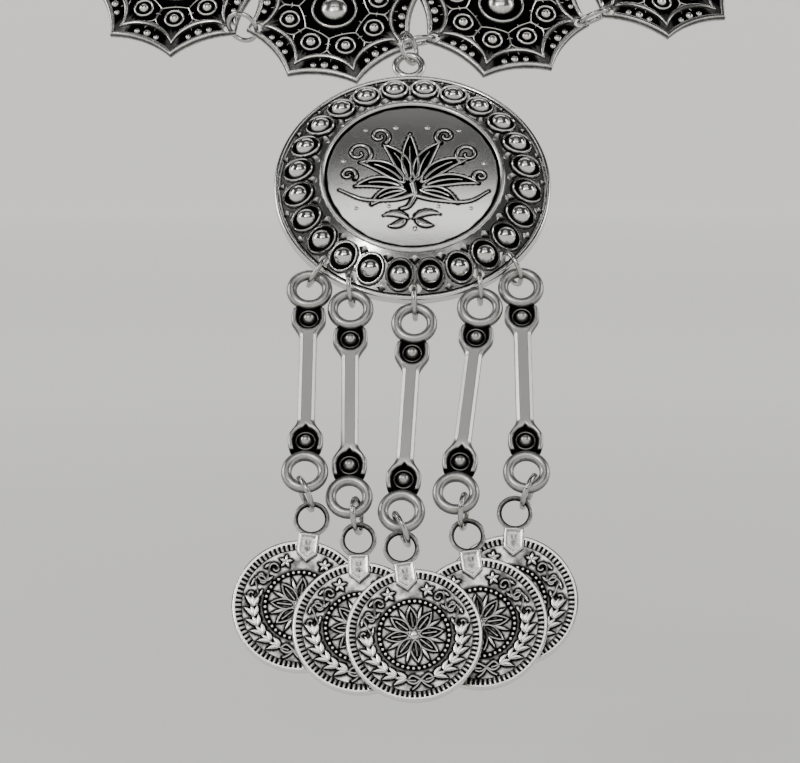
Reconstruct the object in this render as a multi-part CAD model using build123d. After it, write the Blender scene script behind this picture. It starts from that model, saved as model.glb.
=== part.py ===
"""Coin necklace: a collar of cast star plates, a domed medallion and five coins on cast bar links.

Units are millimetres and degrees. The origin is the centre of the arc on which the plates lie, +Z is up and
the necklace faces -Y, in the form it has when it is worn. Every flat piece is made in a frame of its own,
with X to the right, Y towards what carries it and Z out of its face, and is then placed from the sizes below.
"""

import os
from math import acos, asin, atan2, ceil, cos, degrees, hypot, radians, sin, sqrt, tan

from build123d import *

CLEARANCE = 0.1  # kept between pieces that hang in each other
SEAM = 0.05  # how deep one form is sunk in another that is cast in one with it

# The collar's loop, a circle in front that leans forward and down from the nape
PLATE_COUNT = 8
LOOP_RADIUS = 90.0
LOOP_TILT = 37.5
LOOP_ROLL = 1.8
PLATE_LEAN = 72.5

# Star plate
TIP_COUNT = 8
PLATE_TIP = 16.5
PLATE_SAG = 1.2
PLATE_BASE = 0.8
EDGE_WIDTH = 0.75
EDGE_HEIGHT = 0.45
INNER_TIP = 14.3
INNER_SAG = 2.3
INNER_WIDTH = 0.7
INNER_HEIGHT = 0.6
HOLE_INSET = 1.85
JOINT_HOLE = 2.2
HOLE_FACE = 2.7
BOSS_RING = 4.25
BOSS_RING_WIDTH = 0.55
BOSS_BALL = 2.55
BOSS_HEIGHT = 2.2
STUD_CIRCLE = 8.35
STUD_RING = 1.9
STUD_RING_WIDTH = 0.42
STUD_BALL = 0.95
STUD_HEIGHT = 1.1
DOT_CIRCLE = 12.4
DOT_SPACING = 2.0
DOT_BALL = 0.75
SIDE_DOT_BALL = 0.58
WEB_TIP = 6.55
WEB_SAG = 0.25
WEB_WIDTH = 0.28
WEB_HEIGHT = 0.3
WEB_REACH = 9.4

# Jump rings, all of one size
RING_WIRE = 0.9
JUMP_RING = 6.6
RING_SLIT = 3.0
JOINT_SPLAY = 8.0
JOINT_TURN = [18.0, -20.0, -21.0, 25.0, 20.0, -20.0, 18.0]

# Pendant ring, which holds the medallion below the middle joint ring
PENDANT_GRIP = 112.0
PENDANT_SWING = -2.0
PENDANT_DIP = -5.0
PENDANT_TWIST = 30.0

# Medallion
MEDAL_RADIUS = 24.25
MEDAL_WALL = 1.2
MEDAL_LEAN = 37.8
MEDAL_SWING = 1.2
RIM_WIDTH = 1.25
RIM_RISE = 0.35
GROOVE_DEPTH = 0.25
GROOVE_WIDTH = 0.35
DOME_RISE = 2.8
INNER_RING = 16.25
INNER_RING_WIDTH = 0.95
INNER_RING_HEIGHT = 0.5
DISC_CROWN = 0.4
CUP_COUNT = 24
CUP_CIRCLE = 20.0
CUP_WIDTH = 5.0
CUP_LENGTH = 5.8
CUP_WALL = 0.5
CUP_HEIGHT = 0.75
CUP_BALL = 1.6
CUP_BALL_RISE = 0.55
SPIKE_RADIUS = 0.6
SPIKE_HEIGHT = 0.9
DROP_HOLE = 2.3
DROP_HOLE_CIRCLE = 21.8
DROP_HOLE_LEVEL = -0.3
MEDAL_LOOP = 6.1
MEDAL_LOOP_WIRE = 1.4
MEDAL_LOOP_REACH = 26.7
MEDAL_LOOP_LEVEL = -0.4
RELIEF_HEIGHT = 0.3

# Leaves of the spray on the disc: foot of the leaf, its length, width and direction from +X
SPRAY = [
    dict(x=0.0, y=-1.5, length=9.0, width=2.4, turn=90),
    dict(x=-0.6, y=-1.0, length=8.0, width=2.2, turn=122),
    dict(x=0.6, y=-1.0, length=8.0, width=2.2, turn=58),
    dict(x=-1.2, y=-1.8, length=8.6, width=2.2, turn=156),
    dict(x=1.2, y=-1.8, length=8.6, width=2.2, turn=24),
    dict(x=-1.2, y=-3.2, length=7.2, width=1.8, turn=188),
    dict(x=1.2, y=-3.2, length=7.2, width=1.8, turn=-8),
    dict(x=-3.6, y=-7.6, length=3.4, width=1.2, turn=20),
    dict(x=3.6, y=-7.6, length=3.4, width=1.2, turn=160),
]
SPRAY_BERRIES = [dict(x=-9.9, y=3.6, r=0.7), dict(x=9.9, y=3.6, r=0.7), dict(x=0.0, y=9.0, r=0.7),
                 dict(x=-6.0, y=8.0, r=0.6), dict(x=6.0, y=8.0, r=0.6), dict(x=0.0, y=-8.0, r=0.8)]

# Cast bar link of a drop
LINK_SPAN = 35.8
LINK_RING = 7.9
LINK_EYE = 4.3
FORK_REACH = 5.9
FORK_WIDTH = 5.9
FORK_ARM = 0.85
FORK_DEPTH = 1.6
FORK_LENGTH = 4.6
FORK_FLOOR = 0.7
FORK_BALL = 0.95
FORK_LIP = 1.75
FORK_LIP_WIDTH = 0.25
BAR_WIDTH = 2.9
BAR_DEPTH = 2.1
BAR_BEVEL = 0.6

# Coin with its loop and tab
COIN_RADIUS = 11.2
COIN_FIELD = 1.0
COIN_RIM_WIDTH = 0.8
COIN_RIM_HEIGHT = 0.15
TOOTH_COUNT = 80
TOOTH_LENGTH = 0.85
TOOTH_WIDTH = 0.42
BEAD_COUNT = 40
BEAD_CIRCLE = 5.7
BEAD_RADIUS = 0.2
COIN_RELIEF = 0.2
PETAL_COUNT = 8
PETAL_REACH = 4.3
LOOP_OUTER = 6.2
LOOP_WIRE = 0.9
LOOP_REACH = 14.9
LOOP_LEVEL = 0.75
TAB_WIDTH = 3.5
TAB_TOP = 12.4
TAB_SHOULDER = 8.9
TAB_POINT = 7.4
TAB_DEPTH = 1.1
LAUREL_CIRCLE = 7.7

# How each drop hangs. Swings turn a piece's foot to the right, dips and leans bring it forward, and layer 0
# is the coin in front. grip and hold are where the lower ring sits in the bar's eye and in the coin's loop.
DROPS = [
    dict(hole=-45, swing=-27, dip=6, twist=-15, bar_swing=-0.5, bar_lean=36.0, grip=-40, low_swing=23.5,
         low_twist=-5, hold=-6, coin_swing=-7.0, layer=2),
    dict(hole=-30, swing=-1, dip=6, twist=8, bar_swing=0.0, bar_lean=33.5, grip=65, low_swing=-1.5,
         low_twist=15, hold=-10, coin_swing=1.5, layer=1),
    dict(hole=0, swing=-1, dip=4, twist=4, bar_swing=-3.5, bar_lean=33.5, grip=-40, low_swing=24.4,
         low_twist=0, hold=50, coin_swing=8.0, layer=0),
    dict(hole=30, swing=4, dip=4, twist=0, bar_swing=-7.0, bar_lean=34.0, grip=85, low_swing=-5.7,
         low_twist=10, hold=-25, coin_swing=7.5, layer=2),
    dict(hole=45, swing=30, dip=2, twist=-5, bar_swing=0.5, bar_lean=34.5, grip=65, low_swing=-22.5,
         low_twist=5, hold=45, coin_swing=-3.5, layer=3),
]
COIN_LEAN = 26.0
COIN_FAN = 0.5
COIN_GAP = 0.2
FRONT_COIN_PROUD = 2.35

# Chain round the nape and its clasp
SIDE_RADIUS = 55.0
BACK_HEADING = 140.0
LINK_WIRE = 0.8
LINK_INNER_LENGTH = 3.6
LINK_INNER_WIDTH = 2.0
LINK_CLEARANCE = 0.15
CLASP_WIRE = 1.4
CLASP_LENGTH = 8.6
CLASP_WIDTH = 4.6
EYE_RADIUS = 1.35
EYE_WIRE = 0.9

# Sizes that follow from those above
HALF_TIP = 180.0 / TIP_COUNT
JUMP_RADIUS = (JUMP_RING - RING_WIRE) / 2
COIN_THICKNESS = COIN_FIELD + 2 * COIN_RIM_HEIGHT
LINK_EYE_OFFSET = LINK_EYE / 2 - RING_WIRE / 2 - 1.5 * CLEARANCE
COIN_LOOP_OFFSET = LOOP_OUTER / 2 - LOOP_WIRE - RING_WIRE / 2 - CLEARANCE
MEDAL_LOOP_OFFSET = MEDAL_LOOP / 2 - MEDAL_LOOP_WIRE - RING_WIRE / 2 - CLEARANCE
CHAIN_PITCH = LINK_INNER_LENGTH - LINK_CLEARANCE
CHAIN_HOLD = LINK_INNER_LENGTH / 2 - RING_WIRE / 2 - CLEARANCE
UP = Vector(0, 0, 1)


def turned(vector, axis, angle):
    """The vector turned by an angle about an axis through the origin."""
    return vector.rotate(Axis(Vector(0, 0, 0), axis), angle)


def frame(origin, right, normal):
    """A piece's own frame, from where it is, its right hand and the way its face looks."""
    return Plane(origin=origin, x_dir=right, z_dir=normal)


def leaning(origin, lean, swing):
    """The frame of a piece that leans back from upright and whose foot swings to the right."""
    normal = Vector(0, -cos(radians(lean)), sin(radians(lean)))
    return frame(origin, turned(Vector(1, 0, 0), normal, swing), normal)


def at(plane, x, y, z=0.0):
    """The point with these coordinates in the frame."""
    return plane.origin + plane.x_dir * x + plane.y_dir * y + plane.z_dir * z


def placed(shape, plane):
    """The shape moved from the origin into the frame."""
    return plane.location * shape


def band(outer, width, bottom, top):
    """A flat ring between two heights."""
    return Pos(0, 0, bottom) * extrude(Circle(outer) - Circle(outer - width), top - bottom)


def jump_ring():
    """A wire ring with the fine slit where it was closed, on its right."""
    profile = Plane.XZ * Pos(JUMP_RADIUS, 0) * Circle(RING_WIRE / 2)
    return Rot(0, 0, RING_SLIT / 2) * revolve(profile, Axis.Z, 360 - RING_SLIT)


def star(tip, sag):
    """An eight-pointed outline whose sides are arcs that sag inwards between the tips."""
    middle = tip * cos(radians(HALF_TIP)) - sag
    sides = []
    for side in range(TIP_COUNT):
        start, half, end = ((2 * side + step) * HALF_TIP + HALF_TIP for step in (0, 1, 2))
        points = [(r * cos(radians(a)), r * sin(radians(a))) for r, a in ((tip, start), (middle, half), (tip, end))]
        sides.append(ThreePointArc(*points))
    return make_face(sides)


def star_line(tip, sag, width, bottom, top):
    """A raised line of one width along a star's outline."""
    chord = tip * sin(radians(HALF_TIP))
    half_point = 90 - HALF_TIP - degrees(2 * atan2(sag, chord))
    inner_tip = tip - width / sin(radians(half_point))
    inner_middle = tip * cos(radians(HALF_TIP)) - sag - width
    inner = star(inner_tip, inner_tip * cos(radians(HALF_TIP)) - inner_middle)
    return Pos(0, 0, bottom) * extrude(star(tip, sag) - inner, top - bottom)


def leaf(x, y, length, width, turn, height):
    """A raised leaf with two bowed sides, its foot at the point given."""
    tip = (length, 0)
    middle = length / 2
    outline = make_face([ThreePointArc((0, 0), (middle, width / 2), tip), ThreePointArc(tip, (middle, -width / 2), (0, 0))])
    return Pos(x, y, 0) * Rot(0, 0, turn) * extrude(outline, height)


def collar_spacing():
    """The angle from plate to plate and the shingle angle that lets their upper tips pass.

    A joint ring spans the holes of two plates, which sets the spacing. The upper tips then pass the seam, so
    each plate is turned until one tip lies over the other by the thickness of the edge.
    """
    reach = PLATE_TIP - HOLE_INSET
    span = 2 * JUMP_RADIUS * cos(radians(JOINT_SPLAY))
    fall = sin(radians(PLATE_LEAN)) * sin(radians(HALF_TIP))
    shingle = 0.0
    for _ in range(4):
        across = reach * cos(radians(HALF_TIP)) * cos(radians(shingle))
        step_up = 2 * reach * cos(radians(HALF_TIP)) * sin(radians(shingle))
        half_span = sqrt(span ** 2 - step_up ** 2) / 2
        radius = LOOP_RADIUS + reach * fall
        half_step = degrees(atan2(across, radius) + asin(half_span / hypot(across, radius)))
        tip_across = PLATE_TIP * cos(radians(HALF_TIP))
        upper = LOOP_RADIUS - PLATE_TIP * fall
        overlap = 2 * (tip_across * cos(radians(half_step)) - upper * sin(radians(half_step)))
        lift = PLATE_BASE + EDGE_HEIGHT + 2 * CLEARANCE + max(overlap, 0) * tan(radians(half_step))
        shingle = degrees(asin(lift / (2 * tip_across)))
    return 2 * half_step, shingle


PLATE_STEP, SHINGLE = collar_spacing()


def worn(vector):
    """A vector of the level loop turned into the way the loop lies when worn."""
    return vector.rotate(Axis.X, LOOP_TILT).rotate(Axis.Y, -LOOP_ROLL)


def loop_axes(azimuth):
    """Outward, along and face directions of the collar at an angle from its middle, in the level loop."""
    outward = Vector(sin(radians(azimuth)), -cos(radians(azimuth)), 0)
    along = Vector(cos(radians(azimuth)), sin(radians(azimuth)), 0)
    face = outward * cos(radians(PLATE_LEAN)) + UP * sin(radians(PLATE_LEAN))
    return outward, along, face


def plate_frame(number):
    """The frame of a plate, counted from the wearer's right."""
    azimuth = (number - (PLATE_COUNT + 1) / 2) * PLATE_STEP
    outward, along, face = loop_axes(azimuth)
    upward = face.cross(along)
    right = turned(along, upward, SHINGLE)
    normal = turned(face, upward, SHINGLE)
    return frame(worn(outward * LOOP_RADIUS), worn(right), worn(normal))


def joint_hole(number, side):
    """The middle of the hole in a plate's joint tip, side 1 on the right and -1 on the left."""
    reach = PLATE_TIP - HOLE_INSET
    x = side * reach * cos(radians(HALF_TIP))
    return at(plate_frame(number), x, -reach * sin(radians(HALF_TIP)), PLATE_BASE / 2)


def plate():
    """One star plate with its relief raised on a sunk ground, and a hole in each joint tip."""
    ground = PLATE_BASE
    body = extrude(star(PLATE_TIP, PLATE_SAG), ground)
    low = ground - SEAM
    relief = [
        star_line(PLATE_TIP, PLATE_SAG, EDGE_WIDTH, low, ground + EDGE_HEIGHT),
        star_line(INNER_TIP, INNER_SAG, INNER_WIDTH, low, ground + INNER_HEIGHT),
        Rot(0, 0, HALF_TIP) * star_line(WEB_TIP, WEB_SAG, WEB_WIDTH, low, ground + WEB_HEIGHT),
        band(BOSS_RING, BOSS_RING_WIDTH, low, ground + INNER_HEIGHT),
        Pos(0, 0, ground + BOSS_HEIGHT - BOSS_BALL) * Sphere(BOSS_BALL),
    ]
    for tip in range(TIP_COUNT):
        spoke = Rot(0, 0, (2 * tip + 1) * HALF_TIP)
        relief.append(spoke * Pos(STUD_CIRCLE, 0, 0) * band(STUD_RING, STUD_RING_WIDTH, low, ground + INNER_HEIGHT))
        relief.append(spoke * Pos(STUD_CIRCLE, 0, ground + STUD_HEIGHT - STUD_BALL) * Sphere(STUD_BALL))
        side = Rot(0, 0, 2 * tip * HALF_TIP)
        rib = Pos((WEB_TIP + WEB_REACH) / 2, 0, low + (WEB_HEIGHT + SEAM) / 2)
        relief.append(side * rib * Box(WEB_REACH - WEB_TIP + WEB_WIDTH, WEB_WIDTH, WEB_HEIGHT + SEAM))
        relief.append(side * Pos(DOT_CIRCLE, 0, ground) * Sphere(DOT_BALL))
        for y in (-DOT_SPACING, DOT_SPACING):
            relief.append(side * Pos(DOT_CIRCLE, y, ground) * Sphere(SIDE_DOT_BALL))
    body = body + relief
    body = body & Pos(0, 0, PLATE_TIP) * Box(4 * PLATE_TIP, 4 * PLATE_TIP, 2 * PLATE_TIP)
    for angle in (-HALF_TIP, 180 + HALF_TIP):
        spot = Rot(0, 0, angle) * Pos(PLATE_TIP - HOLE_INSET, 0, 0)
        body -= spot * Cylinder(JOINT_HOLE / 2, 4 * PLATE_BASE)
        body -= spot * Pos(0, 0, 2 * PLATE_BASE) * Cylinder(HOLE_FACE / 2, 2 * PLATE_BASE)
    return body


def joint_ring_frame(number):
    """The frame of the ring between a plate and the next: it spans both holes and stands across the plates."""
    left, right = joint_hole(number, 1), joint_hole(number + 1, -1)
    across = (right - left).normalized()
    face = plate_frame(number).z_dir + plate_frame(number + 1).z_dir
    face = (face - across * face.dot(across)).normalized()
    forward = turned(face, across, JOINT_TURN[number - 1])
    centre = (left + right) * 0.5 + forward * (JUMP_RADIUS * sin(radians(JOINT_SPLAY)))
    return frame(centre, forward, across.cross(forward))


def end_ring_frame(side):
    """The frame of the ring at one end of the collar, and the way it pulls on."""
    number = PLATE_COUNT if side > 0 else 1
    _, along, face = loop_axes(side * PLATE_COUNT / 2 * PLATE_STEP)
    pull = worn(along) * side
    face = worn(face)
    return frame(joint_hole(number, side) + pull * JUMP_RADIUS, face, pull.cross(face)), pull


def pendant_frames():
    """The frame of the pendant ring, and the frame of the medallion that hangs from it."""
    middle = joint_ring_frame(PLATE_COUNT // 2)
    forward, across = middle.x_dir, middle.z_dir.cross(middle.x_dir) * -1
    grip = radians(PENDANT_GRIP)
    wire = middle.origin + (across * cos(grip) + forward * sin(grip)) * JUMP_RADIUS
    medal = leaning(Vector(0, 0, 0), MEDAL_LEAN, MEDAL_SWING)
    lap = RING_WIRE + CLEARANCE
    hang, ring = hanging(medal, wire, JUMP_RADIUS, PENDANT_SWING, PENDANT_DIP, PENDANT_TWIST, lap)
    centre = hang - at(medal, 0, MEDAL_LOOP_REACH + MEDAL_LOOP_OFFSET, MEDAL_LOOP_LEVEL)
    return ring, leaning(centre, MEDAL_LEAN, MEDAL_SWING)


def hanging(carrier, top, radius, swing, dip, twist, lap=0.0):
    """Hangs a ring from a point on its wire: returns the far point of its wire, and its frame.

    The ring pulls down the carrier's face, swung to the right and dipped forward, and the twist turns its
    plane from square to that face towards lying in it. A lap sets its wire that far above the point.
    """
    down = turned(carrier.y_dir * -1, carrier.z_dir, swing)
    pull = down * cos(radians(dip)) + carrier.z_dir * sin(radians(dip))
    side = turned(carrier.x_dir, carrier.z_dir, swing)
    normal = turned(side, pull, twist)
    top = top - pull * lap
    return top + pull * (2 * radius), frame(top + pull * radius, pull.cross(normal), normal)


def medallion():
    """The domed medallion, hollow behind, with its cups, balls, spikes, disc, loop and holes."""
    inner = MEDAL_RADIUS - RIM_WIDTH
    slope = DOME_RISE / (inner - INNER_RING)
    ring_in = INNER_RING - INNER_RING_WIDTH
    disc = ring_in - GROOVE_WIDTH
    front = [
        (disc, DOME_RISE), (disc, DOME_RISE - GROOVE_DEPTH), (ring_in, DOME_RISE - GROOVE_DEPTH),
        (ring_in, DOME_RISE + INNER_RING_HEIGHT), (INNER_RING, DOME_RISE + INNER_RING_HEIGHT),
        (INNER_RING, DOME_RISE), (inner, 0), (inner, -GROOVE_DEPTH), (inner + GROOVE_WIDTH, -GROOVE_DEPTH),
        (inner + GROOVE_WIDTH, RIM_RISE / 2),
    ]
    back = [(MEDAL_RADIUS, -MEDAL_WALL), (inner, -MEDAL_WALL), (INNER_RING, DOME_RISE - 1.2 * MEDAL_WALL),
            (0, DOME_RISE - MEDAL_WALL)]
    crest = ((inner + GROOVE_WIDTH + MEDAL_RADIUS) / 2, RIM_RISE)
    with BuildSketch(Plane.XZ) as section:
        with BuildLine():
            crown = ThreePointArc((0, DOME_RISE + DISC_CROWN), (disc / 2, DOME_RISE + 0.75 * DISC_CROWN), front[0])
            Polyline(*front)
            ThreePointArc(front[-1], crest, (MEDAL_RADIUS, 0))
            Polyline((MEDAL_RADIUS, 0), *back, (0, DOME_RISE + DISC_CROWN))
        make_face()
    body = revolve(section.sketch, Axis.Z)

    tilt = degrees(atan2(slope, 1))
    at_cups = DOME_RISE - slope * (CUP_CIRCLE - INNER_RING)
    wall = Ellipse(CUP_WIDTH / 2, CUP_LENGTH / 2) - Ellipse(CUP_WIDTH / 2 - CUP_WALL, CUP_LENGTH / 2 - CUP_WALL)
    cup = Pos(0, 0, -CUP_WALL) * extrude(wall, CUP_HEIGHT + CUP_WALL)
    cup = Rot(0, 0, 90) * cup
    ball = Pos(0, 0, CUP_BALL_RISE) * Sphere(CUP_BALL)
    forms = []
    turn = 360.0 / CUP_COUNT
    for number in range(CUP_COUNT):
        spot = Rot(0, 0, -90 + (number + 0.5) * turn) * Pos(CUP_CIRCLE, 0, at_cups) * Rot(0, tilt, 0)
        forms.append(spot * cup)
        forms.append(spot * (ball & Pos(0, 0, CUP_BALL) * Box(4 * CUP_BALL, 4 * CUP_BALL, 2 * CUP_BALL + CUP_WALL)))
        gap = Rot(0, 0, -90 + number * turn)
        holed = any(abs(number * turn - drop["hole"]) % 360 < turn / 2 for drop in DROPS)
        for radius in (CUP_CIRCLE - 0.42 * CUP_LENGTH, CUP_CIRCLE + 0.42 * CUP_LENGTH):
            if holed and radius > CUP_CIRCLE:
                continue
            level = DOME_RISE - slope * (radius - INNER_RING)
            spike = Pos(radius, 0, level + SPIKE_HEIGHT / 2 - SEAM) * Cone(SPIKE_RADIUS, SEAM, SPIKE_HEIGHT)
            forms.append(gap * spike)
    relief_low = DOME_RISE - SEAM
    relief_rise = DISC_CROWN + RELIEF_HEIGHT + SEAM
    forms += [Pos(0, 0, relief_low) * leaf(height=relief_rise, **row) for row in SPRAY]
    forms += [Pos(row["x"], row["y"], relief_low + relief_rise / 2) * Cylinder(row["r"], relief_rise)
              for row in SPRAY_BERRIES]
    loop_radius = (MEDAL_LOOP - MEDAL_LOOP_WIRE) / 2
    forms.append(Pos(0, MEDAL_LOOP_REACH, MEDAL_LOOP_LEVEL) * Torus(loop_radius, MEDAL_LOOP_WIRE / 2))
    body = body + forms
    for drop in DROPS:
        hole = Rot(0, 0, -90 + drop["hole"]) * Pos(DROP_HOLE_CIRCLE, 0, 0)
        body -= hole * Cylinder(DROP_HOLE / 2, 6 * MEDAL_WALL)
    return body


def bevelled(width, depth, bevel):
    """A rectangle with its four corners cut off."""
    x, y = width / 2, depth / 2
    right = [(x, -y + bevel), (x, y - bevel), (x - bevel, y)]
    left = [(-px, -py) for px, py in right]
    return make_face(Polyline(*right, (-x + bevel, y), *left, (x - bevel, -y), close=True))


def fork():
    """A fork that opens towards +Y round a ball in a sunk cup, with its stem towards -Y."""
    outer = FORK_WIDTH / 2
    inner = outer - FORK_ARM
    flare = 0.93 * outer
    stem = Polyline((-BAR_WIDTH / 2, -FORK_LENGTH), (BAR_WIDTH / 2, -FORK_LENGTH), (flare, -outer / 3),
                    (-flare, -outer / 3), close=True)
    pit = Polyline((0, -FORK_LENGTH + 1.6 * FORK_ARM), (inner * 0.9, -inner / 3), (-inner * 0.9, -inner / 3), close=True)
    gap = Pos(0, outer) * Rectangle(2 * inner, outer)
    bottom = -FORK_DEPTH / 2
    arms = Circle(outer) + make_face(stem) - Circle(inner) - make_face(pit) - gap
    floor = (Circle(inner + SEAM) + make_face(pit)) - Pos(0, 2 * outer) * Rectangle(4 * outer, 2 * outer)
    return [
        Pos(0, 0, bottom) * extrude(arms, FORK_DEPTH),
        Pos(0, 0, bottom) * extrude(floor + Pos(0, outer / 2) * Rectangle(2 * inner, outer), FORK_FLOOR),
        band(FORK_LIP, FORK_LIP_WIDTH, bottom, FORK_FLOOR / 3),
        Pos(0, 0, bottom + FORK_FLOOR + FORK_BALL / 2) * Sphere(FORK_BALL),
    ]


def drop_bar():
    """A bar link: two thick round rings, a fork at each and a bevelled bar between, upright on Y."""
    ring = Torus((LINK_RING + LINK_EYE) / 4, (LINK_RING - LINK_EYE) / 4)
    ball_at = LINK_SPAN / 2 - FORK_REACH
    length = 2 * (ball_at - FORK_LENGTH) + FORK_ARM
    bar = extrude(Plane.XZ * bevelled(BAR_WIDTH, BAR_DEPTH, BAR_BEVEL), length / 2, both=True)
    forms = [Pos(0, LINK_SPAN / 2, 0) * ring, Pos(0, -LINK_SPAN / 2, 0) * ring]
    for turn in (0, 180):
        forms += [Rot(0, 0, turn) * Pos(0, ball_at, 0) * form for form in fork()]
    body = bar + forms
    for y in (LINK_SPAN / 2, -LINK_SPAN / 2):
        body -= Pos(0, y, 0) * Cylinder(LINK_EYE / 2 - SEAM, LINK_RING)
    return body


def coin():
    """A coin with a rim, teeth, a ring of beads, a rosette and laurel, and its loop and pointed tab."""
    half = COIN_FIELD / 2
    low = half - SEAM
    body = Pos(0, 0, 0) * Cylinder(COIN_RADIUS, COIN_FIELD)
    top = half + COIN_RIM_HEIGHT
    forms = [band(COIN_RADIUS, COIN_RIM_WIDTH, -top, top)]
    inside = COIN_RADIUS - COIN_RIM_WIDTH
    tooth = Box(TOOTH_LENGTH + SEAM, TOOTH_WIDTH, COIN_RIM_HEIGHT + SEAM)
    for number in range(TOOTH_COUNT):
        turn = Rot(0, 0, number * 360 / TOOTH_COUNT)
        forms.append(turn * Pos(inside - (TOOTH_LENGTH - SEAM) / 2, 0, low + (COIN_RIM_HEIGHT + SEAM) / 2) * tooth)
    for number in range(BEAD_COUNT):
        spot = Rot(0, 0, number * 360 / BEAD_COUNT) * Pos(BEAD_CIRCLE, 0, half)
        forms.append(spot * Sphere(BEAD_RADIUS))
    height = COIN_RELIEF + SEAM
    for number in range(PETAL_COUNT):
        turn = Rot(0, 0, number * 360 / PETAL_COUNT)
        forms.append(turn * Pos(0, 0, low) * leaf(1.0, 0, PETAL_REACH - 1.0, 1.5, 0, height))
    forms.append(Pos(0, 0, low + height / 2) * Cylinder(1.1, height))
    for side in (-1, 1):
        for number in range(6):
            angle = -90 + side * (16 + 15 * number)
            spot = Rot(0, 0, angle) * Pos(LAUREL_CIRCLE, 0, low)
            forms.append(spot * leaf(-0.5, 0, 2.4, 0.95, side * 65, height))
            forms.append(spot * leaf(-0.5, 0, 2.2, 0.85, side * 115, height))
    forms.append(Pos(0, LOOP_REACH, LOOP_LEVEL) * Torus((LOOP_OUTER - LOOP_WIRE) / 2, LOOP_WIRE / 2))
    outline = Polyline((-TAB_WIDTH / 2, TAB_TOP), (-TAB_WIDTH / 2, TAB_SHOULDER), (0, TAB_POINT),
                       (TAB_WIDTH / 2, TAB_SHOULDER), (TAB_WIDTH / 2, TAB_TOP), close=True)
    forms.append(Pos(0, 0, LOOP_LEVEL - TAB_DEPTH / 2) * extrude(make_face(outline), TAB_DEPTH))
    return body + forms


def drop_frames(medal):
    """The frames of every piece of the five drops, from the medallion's holes down to the coins.

    The coins lie in layers, so each lower ring is dipped as far as its coin's layer needs.
    """
    uppers, bars, feet = [], [], []
    for drop in DROPS:
        hole = radians(drop["hole"])
        start = at(medal, DROP_HOLE_CIRCLE * sin(hole), -DROP_HOLE_CIRCLE * cos(hole), DROP_HOLE_LEVEL)
        carrier = leaning(medal.origin, MEDAL_LEAN, 0)
        end, upper = hanging(carrier, start, JUMP_RADIUS, drop["swing"], drop["dip"], drop["twist"])
        bar = leaning(end, drop["bar_lean"], drop["bar_swing"])
        bar = leaning(at(bar, 0, -LINK_EYE_OFFSET - LINK_SPAN / 2), drop["bar_lean"], drop["bar_swing"])
        uppers.append(upper)
        bars.append(bar)
        feet.append(at(bar, 0, -LINK_SPAN / 2))
    facing = leaning(Vector(0, 0, 0), COIN_LEAN, 0).z_dir
    front = next(number for number, drop in enumerate(DROPS) if drop["layer"] == 0)
    front_level = feet[front].dot(facing) + FRONT_COIN_PROUD
    lowers, coins = [], []
    for drop, bar, foot in zip(DROPS, bars, feet):
        lean = COIN_LEAN - drop["layer"] * COIN_FAN
        level = front_level - drop["layer"] * (COIN_THICKNESS + COIN_GAP)
        hung = leaning(Vector(0, 0, 0), lean, drop["coin_swing"])
        grip, hold = radians(drop["grip"]), radians(drop["hold"])
        start = foot + (bar.x_dir * sin(grip) - bar.y_dir * cos(grip)) * LINK_EYE_OFFSET
        rise = (level - start.dot(facing)) / (2 * JUMP_RADIUS)
        carrier = leaning(Vector(0, 0, 0), lean, 0)
        dip = degrees(asin(rise))
        end, lower = hanging(carrier, start, JUMP_RADIUS, drop["low_swing"], dip, drop["low_twist"])
        loop = end - (hung.x_dir * sin(hold) + hung.y_dir * cos(hold)) * COIN_LOOP_OFFSET
        lowers.append(lower)
        coins.append(leaning(loop - at(hung, 0, LOOP_REACH, LOOP_LEVEL), lean, drop["coin_swing"]))
    return uppers, bars, lowers, coins


def chain_link():
    """One oval link, its long way on X."""
    straight = LINK_INNER_LENGTH - LINK_INNER_WIDTH
    bend = (LINK_INNER_WIDTH + LINK_WIRE) / 2
    return oval(straight, bend, LINK_WIRE)


def oval(straight, bend, wire):
    """A closed wire of two straight runs on X joined by half turns."""
    end = revolve(Plane.XZ * Pos(bend, 0) * Circle(wire / 2), Axis.Z, 180)
    run = Rot(0, 90, 0) * Cylinder(wire / 2, straight)
    forms = [Pos(straight / 2, 0, 0) * Rot(0, 0, -90) * end, Pos(-straight / 2, 0, 0) * Rot(0, 0, 90) * end]
    return Pos(0, bend, 0) * run + [Pos(0, -bend, 0) * run] + forms


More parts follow.
